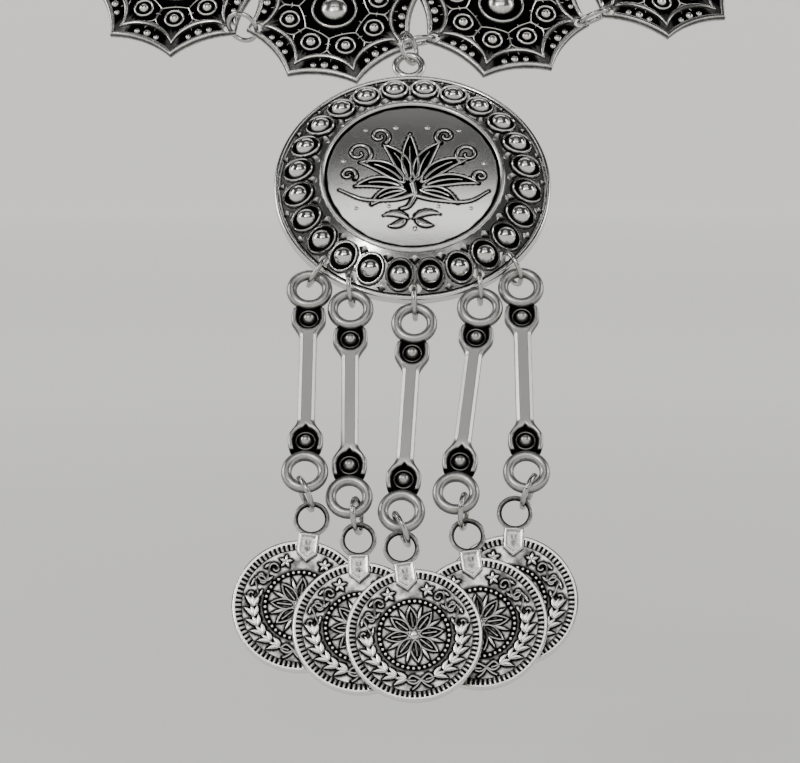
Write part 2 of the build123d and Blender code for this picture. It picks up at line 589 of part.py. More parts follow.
class BackRun:
    """The chain's way from one end of the collar to the middle of the nape: a tight arc, then a wide one."""

    def __init__(self, side):
        ring, pull = end_ring_frame(side)
        start = unworn(ring.origin + pull * JUMP_RADIUS)
        self.side = side
        self.x, self.y, self.z = start.X * side, start.Y, start.Z
        self.heading = radians(PLATE_COUNT / 2 * PLATE_STEP)
        self.back = radians(BACK_HEADING)
        self.turn_x = self.x + SIDE_RADIUS * (sin(self.back) - sin(self.heading))
        self.turn_y = self.y + SIDE_RADIUS * (cos(self.heading) - cos(self.back))
        self.back_radius = self.turn_x / sin(self.back)
        self.side_length = SIDE_RADIUS * (self.back - self.heading)
        self.length = self.side_length + self.back_radius * (radians(180) - self.back)

    def frame(self, distance):
        """The frame at a distance from the collar's end ring, with X along the chain towards the nape."""
        if distance < self.side_length:
            heading = self.heading + distance / SIDE_RADIUS
            x = self.x + SIDE_RADIUS * (sin(heading) - sin(self.heading))
            y = self.y + SIDE_RADIUS * (cos(self.heading) - cos(heading))
        else:
            heading = self.back + (distance - self.side_length) / self.back_radius
            x = self.turn_x + self.back_radius * (sin(heading) - sin(self.back))
            y = self.turn_y + self.back_radius * (cos(self.back) - cos(heading))
        z = self.z * (1 - distance / self.length)
        along = Vector(cos(heading) * self.side, sin(heading), -self.z / self.length).normalized()
        outward = Vector(sin(heading) * self.side, -cos(heading), 0)
        face = outward * cos(radians(PLATE_LEAN)) + UP * sin(radians(PLATE_LEAN))
        face = (face - along * face.dot(along)).normalized()
        return frame(worn(Vector(x * self.side, y, z)), worn(along), worn(face))


def unworn(vector):
    """The inverse of worn."""
    return vector.rotate(Axis.Y, LOOP_ROLL).rotate(Axis.X, -LOOP_TILT)


def chain(run, end, last_is_flat):
    """Loose links along a run, from the end ring to the given distance, each turned square to the last."""
    first = CHAIN_HOLD
    gaps = ceil((end - first) / CHAIN_PITCH)
    if (gaps % 2 == 0) != last_is_flat:
        gaps += 1
    link = chain_link()
    links = []
    for number in range(gaps + 1):
        spot = run.frame(first + (end - first) * number / gaps)
        links.append(placed(Rot(90 * (number % 2), 0, 0) * link, spot))
    return links


def clasp_parts(left, right):
    """The clasp in the nape: a ring on the left chain, and the clasp with its eye on the right chain.

    Returns the ring and the clasp in place, and how far along its run each chain goes.
    """
    clasp_hold = (CLASP_LENGTH - CLASP_WIRE) / 2 - RING_WIRE / 2 - CLEARANCE
    eye_at = CLASP_LENGTH / 2 + CLASP_WIRE / 2 + EYE_RADIUS
    link_at = EYE_RADIUS - EYE_WIRE / 2 - CLEARANCE + LINK_INNER_LENGTH / 2
    ring_at = CHAIN_HOLD + JUMP_RADIUS
    clasp_at = ring_at + JUMP_RADIUS + clasp_hold
    half = (clasp_at + eye_at + link_at) / 2
    ring_spot = left.frame(left.length - half + ring_at)
    beyond = clasp_at - half
    run = right if beyond > 0 else left
    spot = run.frame(run.length - abs(beyond))
    along = worn(Vector(1, 0, 0))
    clasp_frame = frame(spot.origin, along, spot.z_dir)
    straight = CLASP_LENGTH - CLASP_WIDTH
    body = oval(straight, CLASP_WIDTH / 2, CLASP_WIRE) + [Pos(eye_at, 0, 0) * Torus(EYE_RADIUS, EYE_WIRE / 2)]
    ring = frame(ring_spot.origin, ring_spot.z_dir, ring_spot.y_dir)
    return placed(jump_ring(), ring), placed(body, clasp_frame), half


def write(name, shape):
    """Writes one piece, or one run of loose links, as a STEP file named after its node."""
    solids = shape if isinstance(shape, list) else [shape]
    solids = [solid for part in solids for solid in part.solids()]
    export_step(solids[0] if len(solids) == 1 else Compound(children=solids), f"parts/{name}.step")


def main():
    """Makes and writes every piece."""
    os.makedirs("parts", exist_ok=True)
    star_plate, ring = plate(), jump_ring()
    for number in range(1, PLATE_COUNT + 1):
        write(f"plate_{number}", placed(star_plate, plate_frame(number)))
    for number in range(1, PLATE_COUNT):
        write(f"joint_ring_{number}", placed(ring, joint_ring_frame(number)))
    for name, side in (("left", -1), ("right", 1)):
        write(f"end_ring_{name}", placed(ring, end_ring_frame(side)[0]))

    pendant, medal = pendant_frames()
    write("pendant_ring", placed(ring, pendant))
    write("medallion", placed(medallion(), medal))
    bar, token = drop_bar(), coin()
    for number, (upper, link, lower, hung) in enumerate(zip(*drop_frames(medal)), start=1):
        write(f"drop_ring_top_{number}", placed(ring, upper))
        write(f"drop_bar_{number}", placed(bar, link))
        write(f"drop_ring_low_{number}", placed(ring, lower))
        write(f"coin_{number}", placed(token, hung))

    left, right = BackRun(-1), BackRun(1)
    clasp_ring, clasp, half = clasp_parts(left, right)
    write("clasp_ring", clasp_ring)
    write("clasp", clasp)
    write("chain_left", chain(left, left.length - half, True))
    write("chain_right", chain(right, right.length - half, False))
    print("plate step", round(PLATE_STEP, 2), "shingle", round(SHINGLE, 2))
    print("chain runs", round(left.length, 1), round(right.length, 1))


if __name__ == "__main__":
    main()
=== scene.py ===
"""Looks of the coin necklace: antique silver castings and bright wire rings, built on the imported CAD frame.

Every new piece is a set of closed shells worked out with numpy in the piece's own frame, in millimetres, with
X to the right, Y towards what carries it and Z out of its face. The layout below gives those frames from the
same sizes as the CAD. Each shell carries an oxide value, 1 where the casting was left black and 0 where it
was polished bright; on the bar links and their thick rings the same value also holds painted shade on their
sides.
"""

from math import asin, atan2, ceil, cos, degrees, hypot, pi, radians, sin, sqrt, tan

import bpy
import numpy as np
from mathutils import Matrix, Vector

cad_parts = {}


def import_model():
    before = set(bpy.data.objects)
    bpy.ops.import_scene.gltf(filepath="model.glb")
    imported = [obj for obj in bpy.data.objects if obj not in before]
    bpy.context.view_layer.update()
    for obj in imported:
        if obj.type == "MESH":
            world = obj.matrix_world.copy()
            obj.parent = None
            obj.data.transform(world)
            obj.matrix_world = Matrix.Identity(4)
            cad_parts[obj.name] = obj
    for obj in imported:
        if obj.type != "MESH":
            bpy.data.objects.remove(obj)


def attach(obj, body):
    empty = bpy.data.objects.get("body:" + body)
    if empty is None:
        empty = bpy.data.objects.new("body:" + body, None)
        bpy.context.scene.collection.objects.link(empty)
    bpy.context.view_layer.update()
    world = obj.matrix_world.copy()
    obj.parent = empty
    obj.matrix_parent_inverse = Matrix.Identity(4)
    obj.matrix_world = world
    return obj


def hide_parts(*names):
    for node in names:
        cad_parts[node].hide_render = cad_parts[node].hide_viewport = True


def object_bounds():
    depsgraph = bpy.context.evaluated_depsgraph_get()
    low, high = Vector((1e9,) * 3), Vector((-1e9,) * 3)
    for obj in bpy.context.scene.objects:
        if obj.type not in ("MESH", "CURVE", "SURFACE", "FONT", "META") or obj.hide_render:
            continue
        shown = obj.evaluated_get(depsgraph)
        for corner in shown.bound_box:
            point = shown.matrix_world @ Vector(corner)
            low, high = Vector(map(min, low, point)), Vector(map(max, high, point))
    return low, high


MM = 0.001

# Collar
PLATE_COUNT = 8
LOOP_RADIUS = 90.0
LOOP_TILT = 37.5
LOOP_ROLL = 1.8
PLATE_LEAN = 72.5
TIP_COUNT = 8
HALF_TIP = 22.5
PLATE_TIP = 16.5
PLATE_SAG = 1.2
PLATE_BASE = 0.8
PLATE_BACK_HOLLOW = 0.22
EDGE_BAND = 1.05
EDGE_HEIGHT = 0.45
INNER_TIP = 14.3
INNER_SAG = 2.3
INNER_BAND = 1.1
INNER_HEIGHT = 0.6
LINE_FOOT = 0.04
HOLE_INSET = 1.85
JOINT_HOLE = 2.2
HOLE_FACE = 2.7
JOINT_SPLAY = 8.0
JOINT_TURN = [18.0, -20.0, -21.0, 25.0, 20.0, -20.0, 18.0]
BOSS_BALL = 2.5
BOSS_HEIGHT = 1.75
BOSS_RING = 4.25
BOSS_RING_WIDTH = 0.59
STUD_CIRCLE = 8.35
STUD_RING = 1.68
STUD_RING_WIDTH = 0.5
STUD_RING_HEIGHT = 0.55
STUD_BALL = 0.95
STUD_HEIGHT = 1.0
DOT_CIRCLE = 12.4
DOT_SPACING = 2.0
DOT_BALL = 0.75
SIDE_DOT_BALL = 0.58
WEB_TIP = 6.55
WEB_SAG = 0.32
WEB_WIDTH = 0.3
WEB_HEIGHT = 0.34

# Wire rings
CLEARANCE = 0.1
RING_WIRE = 0.9
JUMP_RING = 6.6
JUMP_RADIUS = (JUMP_RING - RING_WIRE) / 2
RING_SLIT = 3.0
PENDANT = dict(grip=112.0, swing=-2.0, dip=-5.0, twist=30.0)

# Medallion
MEDAL_RADIUS = 24.25
MEDAL_WALL = 1.2
MEDAL_LEAN = 37.8
MEDAL_SWING = 1.2
RIM_WIDTH = 1.25
RIM_RISE = 0.35
DOME_RISE = 2.8
INNER_RING = 16.25
INNER_RING_WIDTH = 0.95
INNER_RING_HEIGHT = 0.5
GROOVE_WIDTH = 0.35
GROOVE_DEPTH = 0.25
DISC_CROWN = 0.4
CUP_COUNT = 24
CUP_CIRCLE = 20.0
CUP_WIDTH = 5.0
CUP_LENGTH = 5.8
CUP_WALL = 0.5
CUP_HEIGHT = 0.75
CUP_BALL = 1.8
CUP_BALL_HEIGHT = 1.7
SPIKES = [dict(reach=-0.46 * CUP_LENGTH, radius=1.05), dict(reach=0.43 * CUP_LENGTH, radius=0.85)]
SPIKE_SLOPE = 0.8
DROP_HOLE = 2.3
DROP_HOLE_CIRCLE = 21.8
DROP_HOLE_LEVEL = -0.3
MEDAL_LOOP = 6.1
MEDAL_LOOP_WIRE = 1.4
MEDAL_LOOP_REACH = 26.7
MEDAL_LOOP_LEVEL = -0.4
MEDAL_LOOP_OFFSET = MEDAL_LOOP / 2 - MEDAL_LOOP_WIRE - RING_WIRE / 2 - CLEARANCE
DISC_LINE_SINK = 0.02
DISC_DOTS = [(-12.0, 3.4, 0.5), (12.6, 2.4, 0.5), (-2.7, 10.4, 0.5), (2.9, 10.3, 0.5), (-8.0, 10.0, 0.4),
             (8.4, 9.6, 0.4), (0.2, -11.3, 0.5), (-9.9, -6.8, 0.4), (10.0, -7.2, 0.4), (-4.2, -6.6, 0.4),
             (4.4, -6.8, 0.4)]

# Bar link and coin
LINK_SPAN = 35.8
LINK_RING = 7.9
LINK_EYE = 4.3
LINK_EYE_OFFSET = LINK_EYE / 2 - RING_WIRE / 2 - 1.5 * CLEARANCE
FORK_REACH = 5.9
FORK_WIDTH = 5.9
FORK_DEPTH = 1.6
FORK_LENGTH = 4.0
FORK_CUP = 2.05
FORK_BALL = 1.05
FORK_BALL_HEIGHT = 1.3
FORK_LIP = 1.6
FORK_LIP_WIDTH = 0.26
FORK_LIP_HEIGHT = 0.3
CUP_FLOOR = -0.1
FLARE_START = 8.2
FLARE_END = 11.6
BAR_WIDTH = 2.9
BAR_DEPTH = 2.1
BAR_BEVEL = 0.6
BAR_END = 2.9
ARM_GAP = 1.0
COIN_RADIUS = 11.2
COIN_FIELD = 1.0
COIN_RIM_WIDTH = 0.6
COIN_RIM_HEIGHT = 0.15
COIN_THICKNESS = COIN_FIELD + 2 * COIN_RIM_HEIGHT
TOOTH_COUNT = 80
TOOTH_LENGTH = 1.05
BEAD_COUNT = 40
BEAD_CIRCLE = 5.7
BEAD_RADIUS = 0.3
BEAD_HEIGHT = 0.27
PETAL_COUNT = 8
LAUREL_CIRCLE = 7.75
LAUREL_BUNCHES = 6
SCROLL_CIRCLE = 7.7
STAR_CIRCLE = 7.9
STAR_POINTS = 5
COIN_RELIEF = 0.27
LOOP_OUTER = 6.2
LOOP_WIRE = 0.9
LOOP_REACH = 14.9
LOOP_LEVEL = 0.75
COIN_LOOP_OFFSET = LOOP_OUTER / 2 - LOOP_WIRE - RING_WIRE / 2 - CLEARANCE
TAB_WIDTH = 3.5
TAB_TOP = 12.4
TAB_SHOULDER = 8.9
TAB_POINT = 7.4
TAB_DEPTH = 1.1
COIN_LEAN = 26.0
COIN_FAN = 0.5
COIN_GAP = 0.2
FRONT_COIN_PROUD = 2.35
DROPS = [
    dict(hole=-45, swing=-27, dip=6, twist=-15, bar_swing=-0.5, bar_lean=36.0, grip=-40, low_swing=23.5,
         low_twist=-5, hold=-6, coin_swing=-7.0, layer=2),
    dict(hole=-30, swing=-1, dip=6, twist=8, bar_swing=0.0, bar_lean=33.5, grip=65, low_swing=-1.5,
         low_twist=15, hold=-10, coin_swing=1.5, layer=1),
    dict(hole=0, swing=-1, dip=4, twist=4, bar_swing=-3.5, bar_lean=33.5, grip=-40, low_swing=24.4,
         low_twist=0, hold=50, coin_swing=8.0, layer=0),
    dict(hole=30, swing=4, dip=4, twist=0, bar_swing=-7.0, bar_lean=34.0, grip=85, low_swing=-5.7,
         low_twist=10, hold=-25, coin_swing=7.5, layer=2),
    dict(hole=45, swing=30, dip=2, twist=-5, bar_swing=0.5, bar_lean=34.5, grip=65, low_swing=-22.5,
         low_twist=5, hold=45, coin_swing=-3.5, layer=3),
]

# Chain and clasp
SIDE_RADIUS = 55.0
BACK_HEADING = 140.0
LINK_WIRE = 0.8
LINK_INNER_LENGTH = 3.6
LINK_INNER_WIDTH = 2.0
CHAIN_PITCH = LINK_INNER_LENGTH - 0.15
CHAIN_HOLD = LINK_INNER_LENGTH / 2 - RING_WIRE / 2 - CLEARANCE
CLASP_WIRE = 1.4
CLASP_LENGTH = 8.6
CLASP_WIDTH = 4.6
EYE_RADIUS = 1.35
EYE_WIRE = 0.9

# Studio, in metres and watts
FLOOR_DROP = 0.05
FLOOR_RADIUS = 3.2
FLOOR_TURN = 1.0
FLOOR_WALL = 1.6
LIGHT_TARGET = (0, -0.1, -0.09)
LIGHTS = [
    dict(name="overhead softbox", place=(0.0, -0.74, 0.5), size=(0.7, 0.3), power=1.6),
    dict(name="bright bar", place=(0.0, -0.35, 0.58), size=(0.45, 0.06), power=0.22),
    dict(name="small spot", place=(-0.3, -0.8, 0.42), size=(0.12, 0.12), power=1.4),
    dict(name="dim top fill", place=(0.0, -0.17, 0.8), size=(0.5, 0.16), power=0.06),
    dict(name="left softbox", place=(-0.8, -0.06, 0.36), size=(0.3, 0.5), power=2.8),
    dict(name="right softbox", place=(0.8, -0.06, 0.32), size=(0.25, 0.5), power=1.8),
    dict(name="back strip", place=(0.0, 0.45, 0.7), size=(0.9, 0.2), power=1.2),
]

# Camera: picture in pixels, sensor and place in millimetres, tilt in degrees
IMAGE_WIDTH = 800
FOCAL_PIXELS = 3428.57
SENSOR_WIDTH = 36
CAMERA_PLACE = (-1.49, -699.11, -66.95)
CAMERA_TILT = 85.0


# Layout: where each piece is

def unit(vector):
    """The vector at length 1."""
    return vector / np.linalg.norm(vector)


def turned(vector, axis, angle):
    """The vector turned by an angle about an axis: its part along the axis stays, the rest turns."""
    axis = unit(axis)
    c, s = cos(radians(angle)), sin(radians(angle))
    return vector * c + np.cross(axis, vector) * s + axis * (axis @ vector) * (1 - c)


class Frame:
    """A piece's own frame: its origin and its right, up and face directions."""

    def __init__(self, origin, right, normal):
        self.origin = np.asarray(origin, float)
        self.normal = unit(np.asarray(normal, float))
        right = right - self.normal * (right @ self.normal)
        self.right = unit(right)
        self.up = np.cross(self.normal, self.right)

    def at(self, x, y, z=0.0):
        """The point with these coordinates."""
        return self.origin + self.right * x + self.up * y + self.normal * z

    def carry(self, points):
        """Local points, one a row, in the necklace's frame."""
        return self.origin + points @ np.array([self.right, self.up, self.normal])


X_AXIS, Y_AXIS, Z_AXIS = np.eye(3)


def leaning(origin, lean, swing):
    """The frame of a piece that leans back from upright and whose foot swings to the right."""
    normal = np.array([0, -cos(radians(lean)), sin(radians(lean))])
    return Frame(origin, turned(X_AXIS, normal, swing), normal)


def collar_spacing():
    """The angle from plate to plate and the shingle angle, as the CAD works them out."""
    reach = PLATE_TIP - HOLE_INSET
    span = 2 * JUMP_RADIUS * cos(radians(JOINT_SPLAY))
    fall = sin(radians(PLATE_LEAN)) * sin(radians(HALF_TIP))
    shingle = 0.0
    for _ in range(4):
        across = reach * cos(radians(HALF_TIP)) * cos(radians(shingle))
        step_up = 2 * reach * cos(radians(HALF_TIP)) * sin(radians(shingle))
        half_span = sqrt(span ** 2 - step_up ** 2) / 2
        radius = LOOP_RADIUS + reach * fall
        half_step = degrees(atan2(across, radius) + asin(half_span / hypot(across, radius)))
        tip_across = PLATE_TIP * cos(radians(HALF_TIP))
        upper = LOOP_RADIUS - PLATE_TIP * fall
        overlap = 2 * (tip_across * cos(radians(half_step)) - upper * sin(radians(half_step)))
        lift = PLATE_BASE + EDGE_HEIGHT + 2 * CLEARANCE + max(overlap, 0) * tan(radians(half_step))
        shingle = degrees(asin(lift / (2 * tip_across)))
    return 2 * half_step, shingle


PLATE_STEP, SHINGLE = collar_spacing()


def worn(vector):
    """A vector of the level loop turned into the way the loop lies when worn."""
    return turned(turned(vector, X_AXIS, LOOP_TILT), Y_AXIS, -LOOP_ROLL)


def unworn(vector):
    """The inverse of worn."""
    return turned(turned(vector, Y_AXIS, LOOP_ROLL), X_AXIS, -LOOP_TILT)


def loop_axes(azimuth):
    """Outward, along and face directions of the collar at an angle from its middle, in the level loop."""
    outward = np.array([sin(radians(azimuth)), -cos(radians(azimuth)), 0])
    along = np.array([cos(radians(azimuth)), sin(radians(azimuth)), 0])
    return outward, along, outward * cos(radians(PLATE_LEAN)) + Z_AXIS * sin(radians(PLATE_LEAN))


def plate_frame(number):
    """The frame of a plate, counted from the wearer's right."""
    outward, along, face = loop_axes((number - (PLATE_COUNT + 1) / 2) * PLATE_STEP)
    upward = np.cross(face, along)
    right, normal = turned(along, upward, SHINGLE), turned(face, upward, SHINGLE)
    return Frame(worn(outward * LOOP_RADIUS), worn(right), worn(normal))


def joint_hole(number, side):
    """The middle of the hole in a plate's joint tip."""
    reach = PLATE_TIP - HOLE_INSET
    across, down = reach * cos(radians(HALF_TIP)), reach * sin(radians(HALF_TIP))
    return plate_frame(number).at(side * across, -down, PLATE_BASE / 2)


def joint_ring_frame(number):
    """The frame of the ring between a plate and the next."""
    left, right = joint_hole(number, 1), joint_hole(number + 1, -1)
    across = unit(right - left)
    face = plate_frame(number).normal + plate_frame(number + 1).normal
    face = unit(face - across * (face @ across))
    forward = turned(face, across, JOINT_TURN[number - 1])
    centre = (left + right) / 2 + forward * JUMP_RADIUS * sin(radians(JOINT_SPLAY))
    return Frame(centre, forward, np.cross(across, forward))


def end_ring_frame(side):
    """The frame of the ring at one end of the collar, and the way it pulls on."""
    _, along, face = loop_axes(side * PLATE_COUNT / 2 * PLATE_STEP)
    pull, face = worn(along) * side, worn(face)
    hole = joint_hole(PLATE_COUNT if side > 0 else 1, side)
    return Frame(hole + pull * JUMP_RADIUS, face, np.cross(pull, face)), pull


def hanging(carrier, top, swing, dip, twist, lap=0.0):
    """Hangs a ring from a point on its wire: the far point of its wire, and its frame."""
    down = turned(-carrier.up, carrier.normal, swing)
    pull = down * cos(radians(dip)) + carrier.normal * sin(radians(dip))
    normal = turned(turned(carrier.right, carrier.normal, swing), pull, twist)
    top = top - pull * lap
    return top + pull * 2 * JUMP_RADIUS, Frame(top + pull * JUMP_RADIUS, np.cross(pull, normal), normal)


def pendant_frames():
    """The frame of the pendant ring, and the frame of the medallion that hangs from it."""
    middle = joint_ring_frame(PLATE_COUNT // 2)
    across = -np.cross(middle.normal, middle.right)
    grip = radians(PENDANT["grip"])
    wire = middle.origin + (across * cos(grip) + middle.right * sin(grip)) * JUMP_RADIUS
    medal = leaning(np.zeros(3), MEDAL_LEAN, MEDAL_SWING)
    lap = RING_WIRE + CLEARANCE
    hang, ring = hanging(medal, wire, PENDANT["swing"], PENDANT["dip"], PENDANT["twist"], lap)
    centre = hang - medal.at(0, MEDAL_LOOP_REACH + MEDAL_LOOP_OFFSET, MEDAL_LOOP_LEVEL)
    return ring, leaning(centre, MEDAL_LEAN, MEDAL_SWING)


def drop_frames(medal):
    """The frames of every piece of the five drops: upper rings, bars, lower rings and coins."""
    uppers, bars, feet = [], [], []
    for drop in DROPS:
        hole = radians(drop["hole"])
        start = medal.at(DROP_HOLE_CIRCLE * sin(hole), -DROP_HOLE_CIRCLE * cos(hole), DROP_HOLE_LEVEL)
        carrier = leaning(medal.origin, MEDAL_LEAN, 0)
        end, upper = hanging(carrier, start, drop["swing"], drop["dip"], drop["twist"])
        bar = leaning(end, drop["bar_lean"], drop["bar_swing"])
        bar = leaning(bar.at(0, -LINK_EYE_OFFSET - LINK_SPAN / 2), drop["bar_lean"], drop["bar_swing"])
        uppers.append(upper)
        bars.append(bar)
        feet.append(bar.at(0, -LINK_SPAN / 2))
    facing = leaning(np.zeros(3), COIN_LEAN, 0).normal
    front = next(number for number, drop in enumerate(DROPS) if drop["layer"] == 0)
    front_level = feet[front] @ facing + FRONT_COIN_PROUD
    lowers, coins = [], []
    for drop, bar, foot in zip(DROPS, bars, feet):
        lean = COIN_LEAN - drop["layer"] * COIN_FAN
        level = front_level - drop["layer"] * (COIN_THICKNESS + COIN_GAP)
        hung = leaning(np.zeros(3), lean, drop["coin_swing"])
        grip, hold = radians(drop["grip"]), radians(drop["hold"])
        start = foot + (bar.right * sin(grip) - bar.up * cos(grip)) * LINK_EYE_OFFSET
        dip = degrees(asin((level - start @ facing) / (2 * JUMP_RADIUS)))
        end, lower = hanging(leaning(np.zeros(3), lean, 0), start, drop["low_swing"], dip, drop["low_twist"])
        loop = end - (hung.right * sin(hold) + hung.up * cos(hold)) * COIN_LOOP_OFFSET
        lowers.append(lower)
        coins.append(leaning(loop - hung.at(0, LOOP_REACH, LOOP_LEVEL), lean, drop["coin_swing"]))
    return uppers, bars, lowers, coins


class BackRun:
    """The chain's way from one end of the collar to the middle of the nape: a tight arc, then a wide one."""

    def __init__(self, side):
        ring, pull = end_ring_frame(side)
        start = unworn(ring.origin + pull * JUMP_RADIUS)
        self.side = side
        self.x, self.y, self.z = start[0] * side, start[1], start[2]
        self.heading = radians(PLATE_COUNT / 2 * PLATE_STEP)
        self.back = radians(BACK_HEADING)
        self.turn_x = self.x + SIDE_RADIUS * (sin(self.back) - sin(self.heading))
        self.turn_y = self.y + SIDE_RADIUS * (cos(self.heading) - cos(self.back))
        self.back_radius = self.turn_x / sin(self.back)
        self.side_length = SIDE_RADIUS * (self.back - self.heading)
        self.length = self.side_length + self.back_radius * (pi - self.back)

    def frame(self, distance):
        """The frame at a distance from the collar's end ring, with X along the chain towards the nape."""
        if distance < self.side_length:
            heading = self.heading + distance / SIDE_RADIUS
            x = self.x + SIDE_RADIUS * (sin(heading) - sin(self.heading))
            y = self.y + SIDE_RADIUS * (cos(self.heading) - cos(heading))
        else:
            heading = self.back + (distance - self.side_length) / self.back_radius
            x = self.turn_x + self.back_radius * (sin(heading) - sin(self.back))
            y = self.turn_y + self.back_radius * (cos(self.back) - cos(heading))
        z = self.z * (1 - distance / self.length)
        along = unit(np.array([cos(heading) * self.side, sin(heading), -self.z / self.length]))
        outward = np.array([sin(heading) * self.side, -cos(heading), 0])
        face = outward * cos(radians(PLATE_LEAN)) + Z_AXIS * sin(radians(PLATE_LEAN))
        face = unit(face - along * (face @ along))
        return Frame(worn(np.array([x * self.side, y, z])), worn(along), worn(face))


def chain_frames(run, end, last_is_flat):
    """The frames of the links along a run, each turned square to the last."""
    gaps = ceil((end - CHAIN_HOLD) / CHAIN_PITCH)
    if (gaps % 2 == 0) != last_is_flat:
        gaps += 1
    frames = []
    for number in range(gaps + 1):
        spot = run.frame(CHAIN_HOLD + (end - CHAIN_HOLD) * number / gaps)
        frames.append(Frame(spot.origin, spot.right, spot.up) if number % 2 else spot)
    return frames


def clasp_frames(left, right):
    """The frames of the clasp's ring and of the clasp, and how far along its run each chain goes."""
    clasp_hold = (CLASP_LENGTH - CLASP_WIRE) / 2 - RING_WIRE / 2 - CLEARANCE
    eye_at = CLASP_LENGTH / 2 + CLASP_WIRE / 2 + EYE_RADIUS
    link_at = EYE_RADIUS - EYE_WIRE / 2 - CLEARANCE + LINK_INNER_LENGTH / 2
    ring_at = CHAIN_HOLD + JUMP_RADIUS
    clasp_at = ring_at + JUMP_RADIUS + clasp_hold
    half = (clasp_at + eye_at + link_at) / 2
    ring_spot = left.frame(left.length - half + ring_at)
    beyond = clasp_at - half
    run = right if beyond > 0 else left
    spot = run.frame(run.length - abs(beyond))
    ring = Frame(ring_spot.origin, ring_spot.normal, ring_spot.up)
    return ring, Frame(spot.origin, worn(X_AXIS), spot.normal), eye_at, half


# Shells: closed surfaces on grids

class Shell:
    """Points, faces of four corners (a triangle repeats its last) and an oxide value for each point."""

    def __init__(self, points, faces, oxide_and_shade):
        self.points = np.asarray(points, float)
        self.faces = np.asarray(faces, int)
        self.oxide_and_shade = np.broadcast_to(np.asarray(oxide_and_shade, float), len(self.points)).copy()

    def outward(self):
        """Turns the faces round if the shell's signed volume is negative."""
        a, b, c, d = (self.points[self.faces[:, k]] for k in range(4))
        volume = np.einsum("ij,ij->i", a, np.cross(b, c) + np.cross(c, d)).sum()
        if volume < 0:
            self.faces = self.faces[:, [3, 2, 1, 0]]
        return self

    def carried(self, frame):
        """The shell in another frame."""
        return Shell(frame.carry(self.points), self.faces, self.oxide_and_shade)


def joined(shells):
    """Several shells as one."""
    starts = np.cumsum([0] + [len(shell.points) for shell in shells[:-1]])
    return Shell(np.concatenate([shell.points for shell in shells]),
                 np.concatenate([shell.faces + start for shell, start in zip(shells, starts)]),
                 np.concatenate([shell.oxide_and_shade for shell in shells]))


def lofted(rings, oxide_and_shade, closed_path=False):
    """A skin over rings of points, each ring closed; open ends get a fan to their middle."""
    rings = np.asarray(rings, float)
    count, around = rings.shape[:2]
    oxide_and_shade = np.broadcast_to(oxide_and_shade, (count, around)).reshape(-1)
    rows = np.arange(count if closed_path else count - 1)[:, None]
    cols = np.arange(around)[None, :]
    near, far = rows * around, ((rows + 1) % count) * around
    nxt = (cols + 1) % around
    faces = np.stack([near + cols, near + nxt, far + nxt, far + cols], axis=-1).reshape(-1, 4)
    points = rings.reshape(-1, 3)
    if closed_path:
        return Shell(points, faces, oxide_and_shade).outward()
    middles = np.array([rings[0].mean(axis=0), rings[-1].mean(axis=0)])
    first, last = len(points), len(points) + 1
    c, n = np.arange(around), (np.arange(around) + 1) % around
    start = np.stack([n, c, np.full(around, first), np.full(around, first)], axis=-1)
    tail = (count - 1) * around
    end = np.stack([tail + c, tail + n, np.full(around, last), np.full(around, last)], axis=-1)
    oxide_and_shade = np.concatenate([oxide_and_shade, [oxide_and_shade[:around].mean(), oxide_and_shade[-around:].mean()]])
    return Shell(np.concatenate([points, middles]), np.concatenate([faces, start, end]), oxide_and_shade).outward()


def wire_ring(radius, wire, slit=0.0, along=56, around=14, oxide_and_shade=0.08):
    """Round wire on a circle through its middle, open by the slit angle if there is one."""
    turn = np.radians(np.linspace(slit / 2, 360 - slit / 2, along, endpoint=slit > 0))[:, None]
    section = np.linspace(0, 2 * pi, around, endpoint=False)[None, :]
    out = radius + wire / 2 * np.cos(section)
    rings = np.stack([out * np.cos(turn), out * np.sin(turn), wire / 2 * np.sin(section) + 0 * turn], axis=-1)
    return lofted(rings, oxide_and_shade, closed_path=slit == 0)


def oval_wire(straight, bend, wire, along=32, around=10):
    """Round wire on a racetrack: two straight runs on X joined by half turns."""
    turn = np.linspace(-pi / 2, pi / 2, along // 2)
    right = np.stack([straight / 2 + bend * np.cos(turn), bend * np.sin(turn)], axis=-1)
    path = np.concatenate([right, -right])
    side = np.stack([np.cos(turn), np.sin(turn)], axis=-1)
    side = np.concatenate([side, -side])
    section = np.linspace(0, 2 * pi, around, endpoint=False)
    flat = path[:, None, :] + side[:, None, :] * (wire / 2 * np.cos(section))[None, :, None]
    level = np.broadcast_to(wire / 2 * np.sin(section), flat.shape[:2])
    return lofted(np.concatenate([flat, level[..., None]], axis=-1), 0.1, closed_path=True)


def ridge(path, width, height, level, closed=False, around=9, root=0.85):
    """A raised line: a half-round section, width wide and height high, carried along a flat path at a level.

    Width and height may change along the path. The foot is sunk a little and black, the crest is bright.
    """
    path = np.asarray(path, float)
    count = len(path)
    width = np.broadcast_to(width, count)
    height = np.broadcast_to(height, count)
    level = np.broadcast_to(level, count)
    if closed:
        run = np.roll(path, -1, axis=0) - np.roll(path, 1, axis=0)
    else:
        run = np.gradient(path, axis=0)
    run = run / np.maximum(np.linalg.norm(run, axis=1, keepdims=True), 1e-9)
    side = np.stack([-run[:, 1], run[:, 0]], axis=-1)
    over = np.linspace(0, pi, around)
    across = np.concatenate([np.cos(over), [-0.9, 0.9]])
    rise = np.concatenate([np.sin(over) ** 0.8, [-0.25, -0.25]])
    flat = path[:, None, :] + side[:, None, :] * (width[:, None] / 2 * across[None, :])[..., None]
    z = level[:, None] + height[:, None] * rise[None, :]
    tarnish = np.concatenate([root * (1 - np.sin(over)) ** 1.5, [root, root]])
    return lofted(np.concatenate([flat, z[..., None]], axis=-1), tarnish[None, :], closed_path=closed)


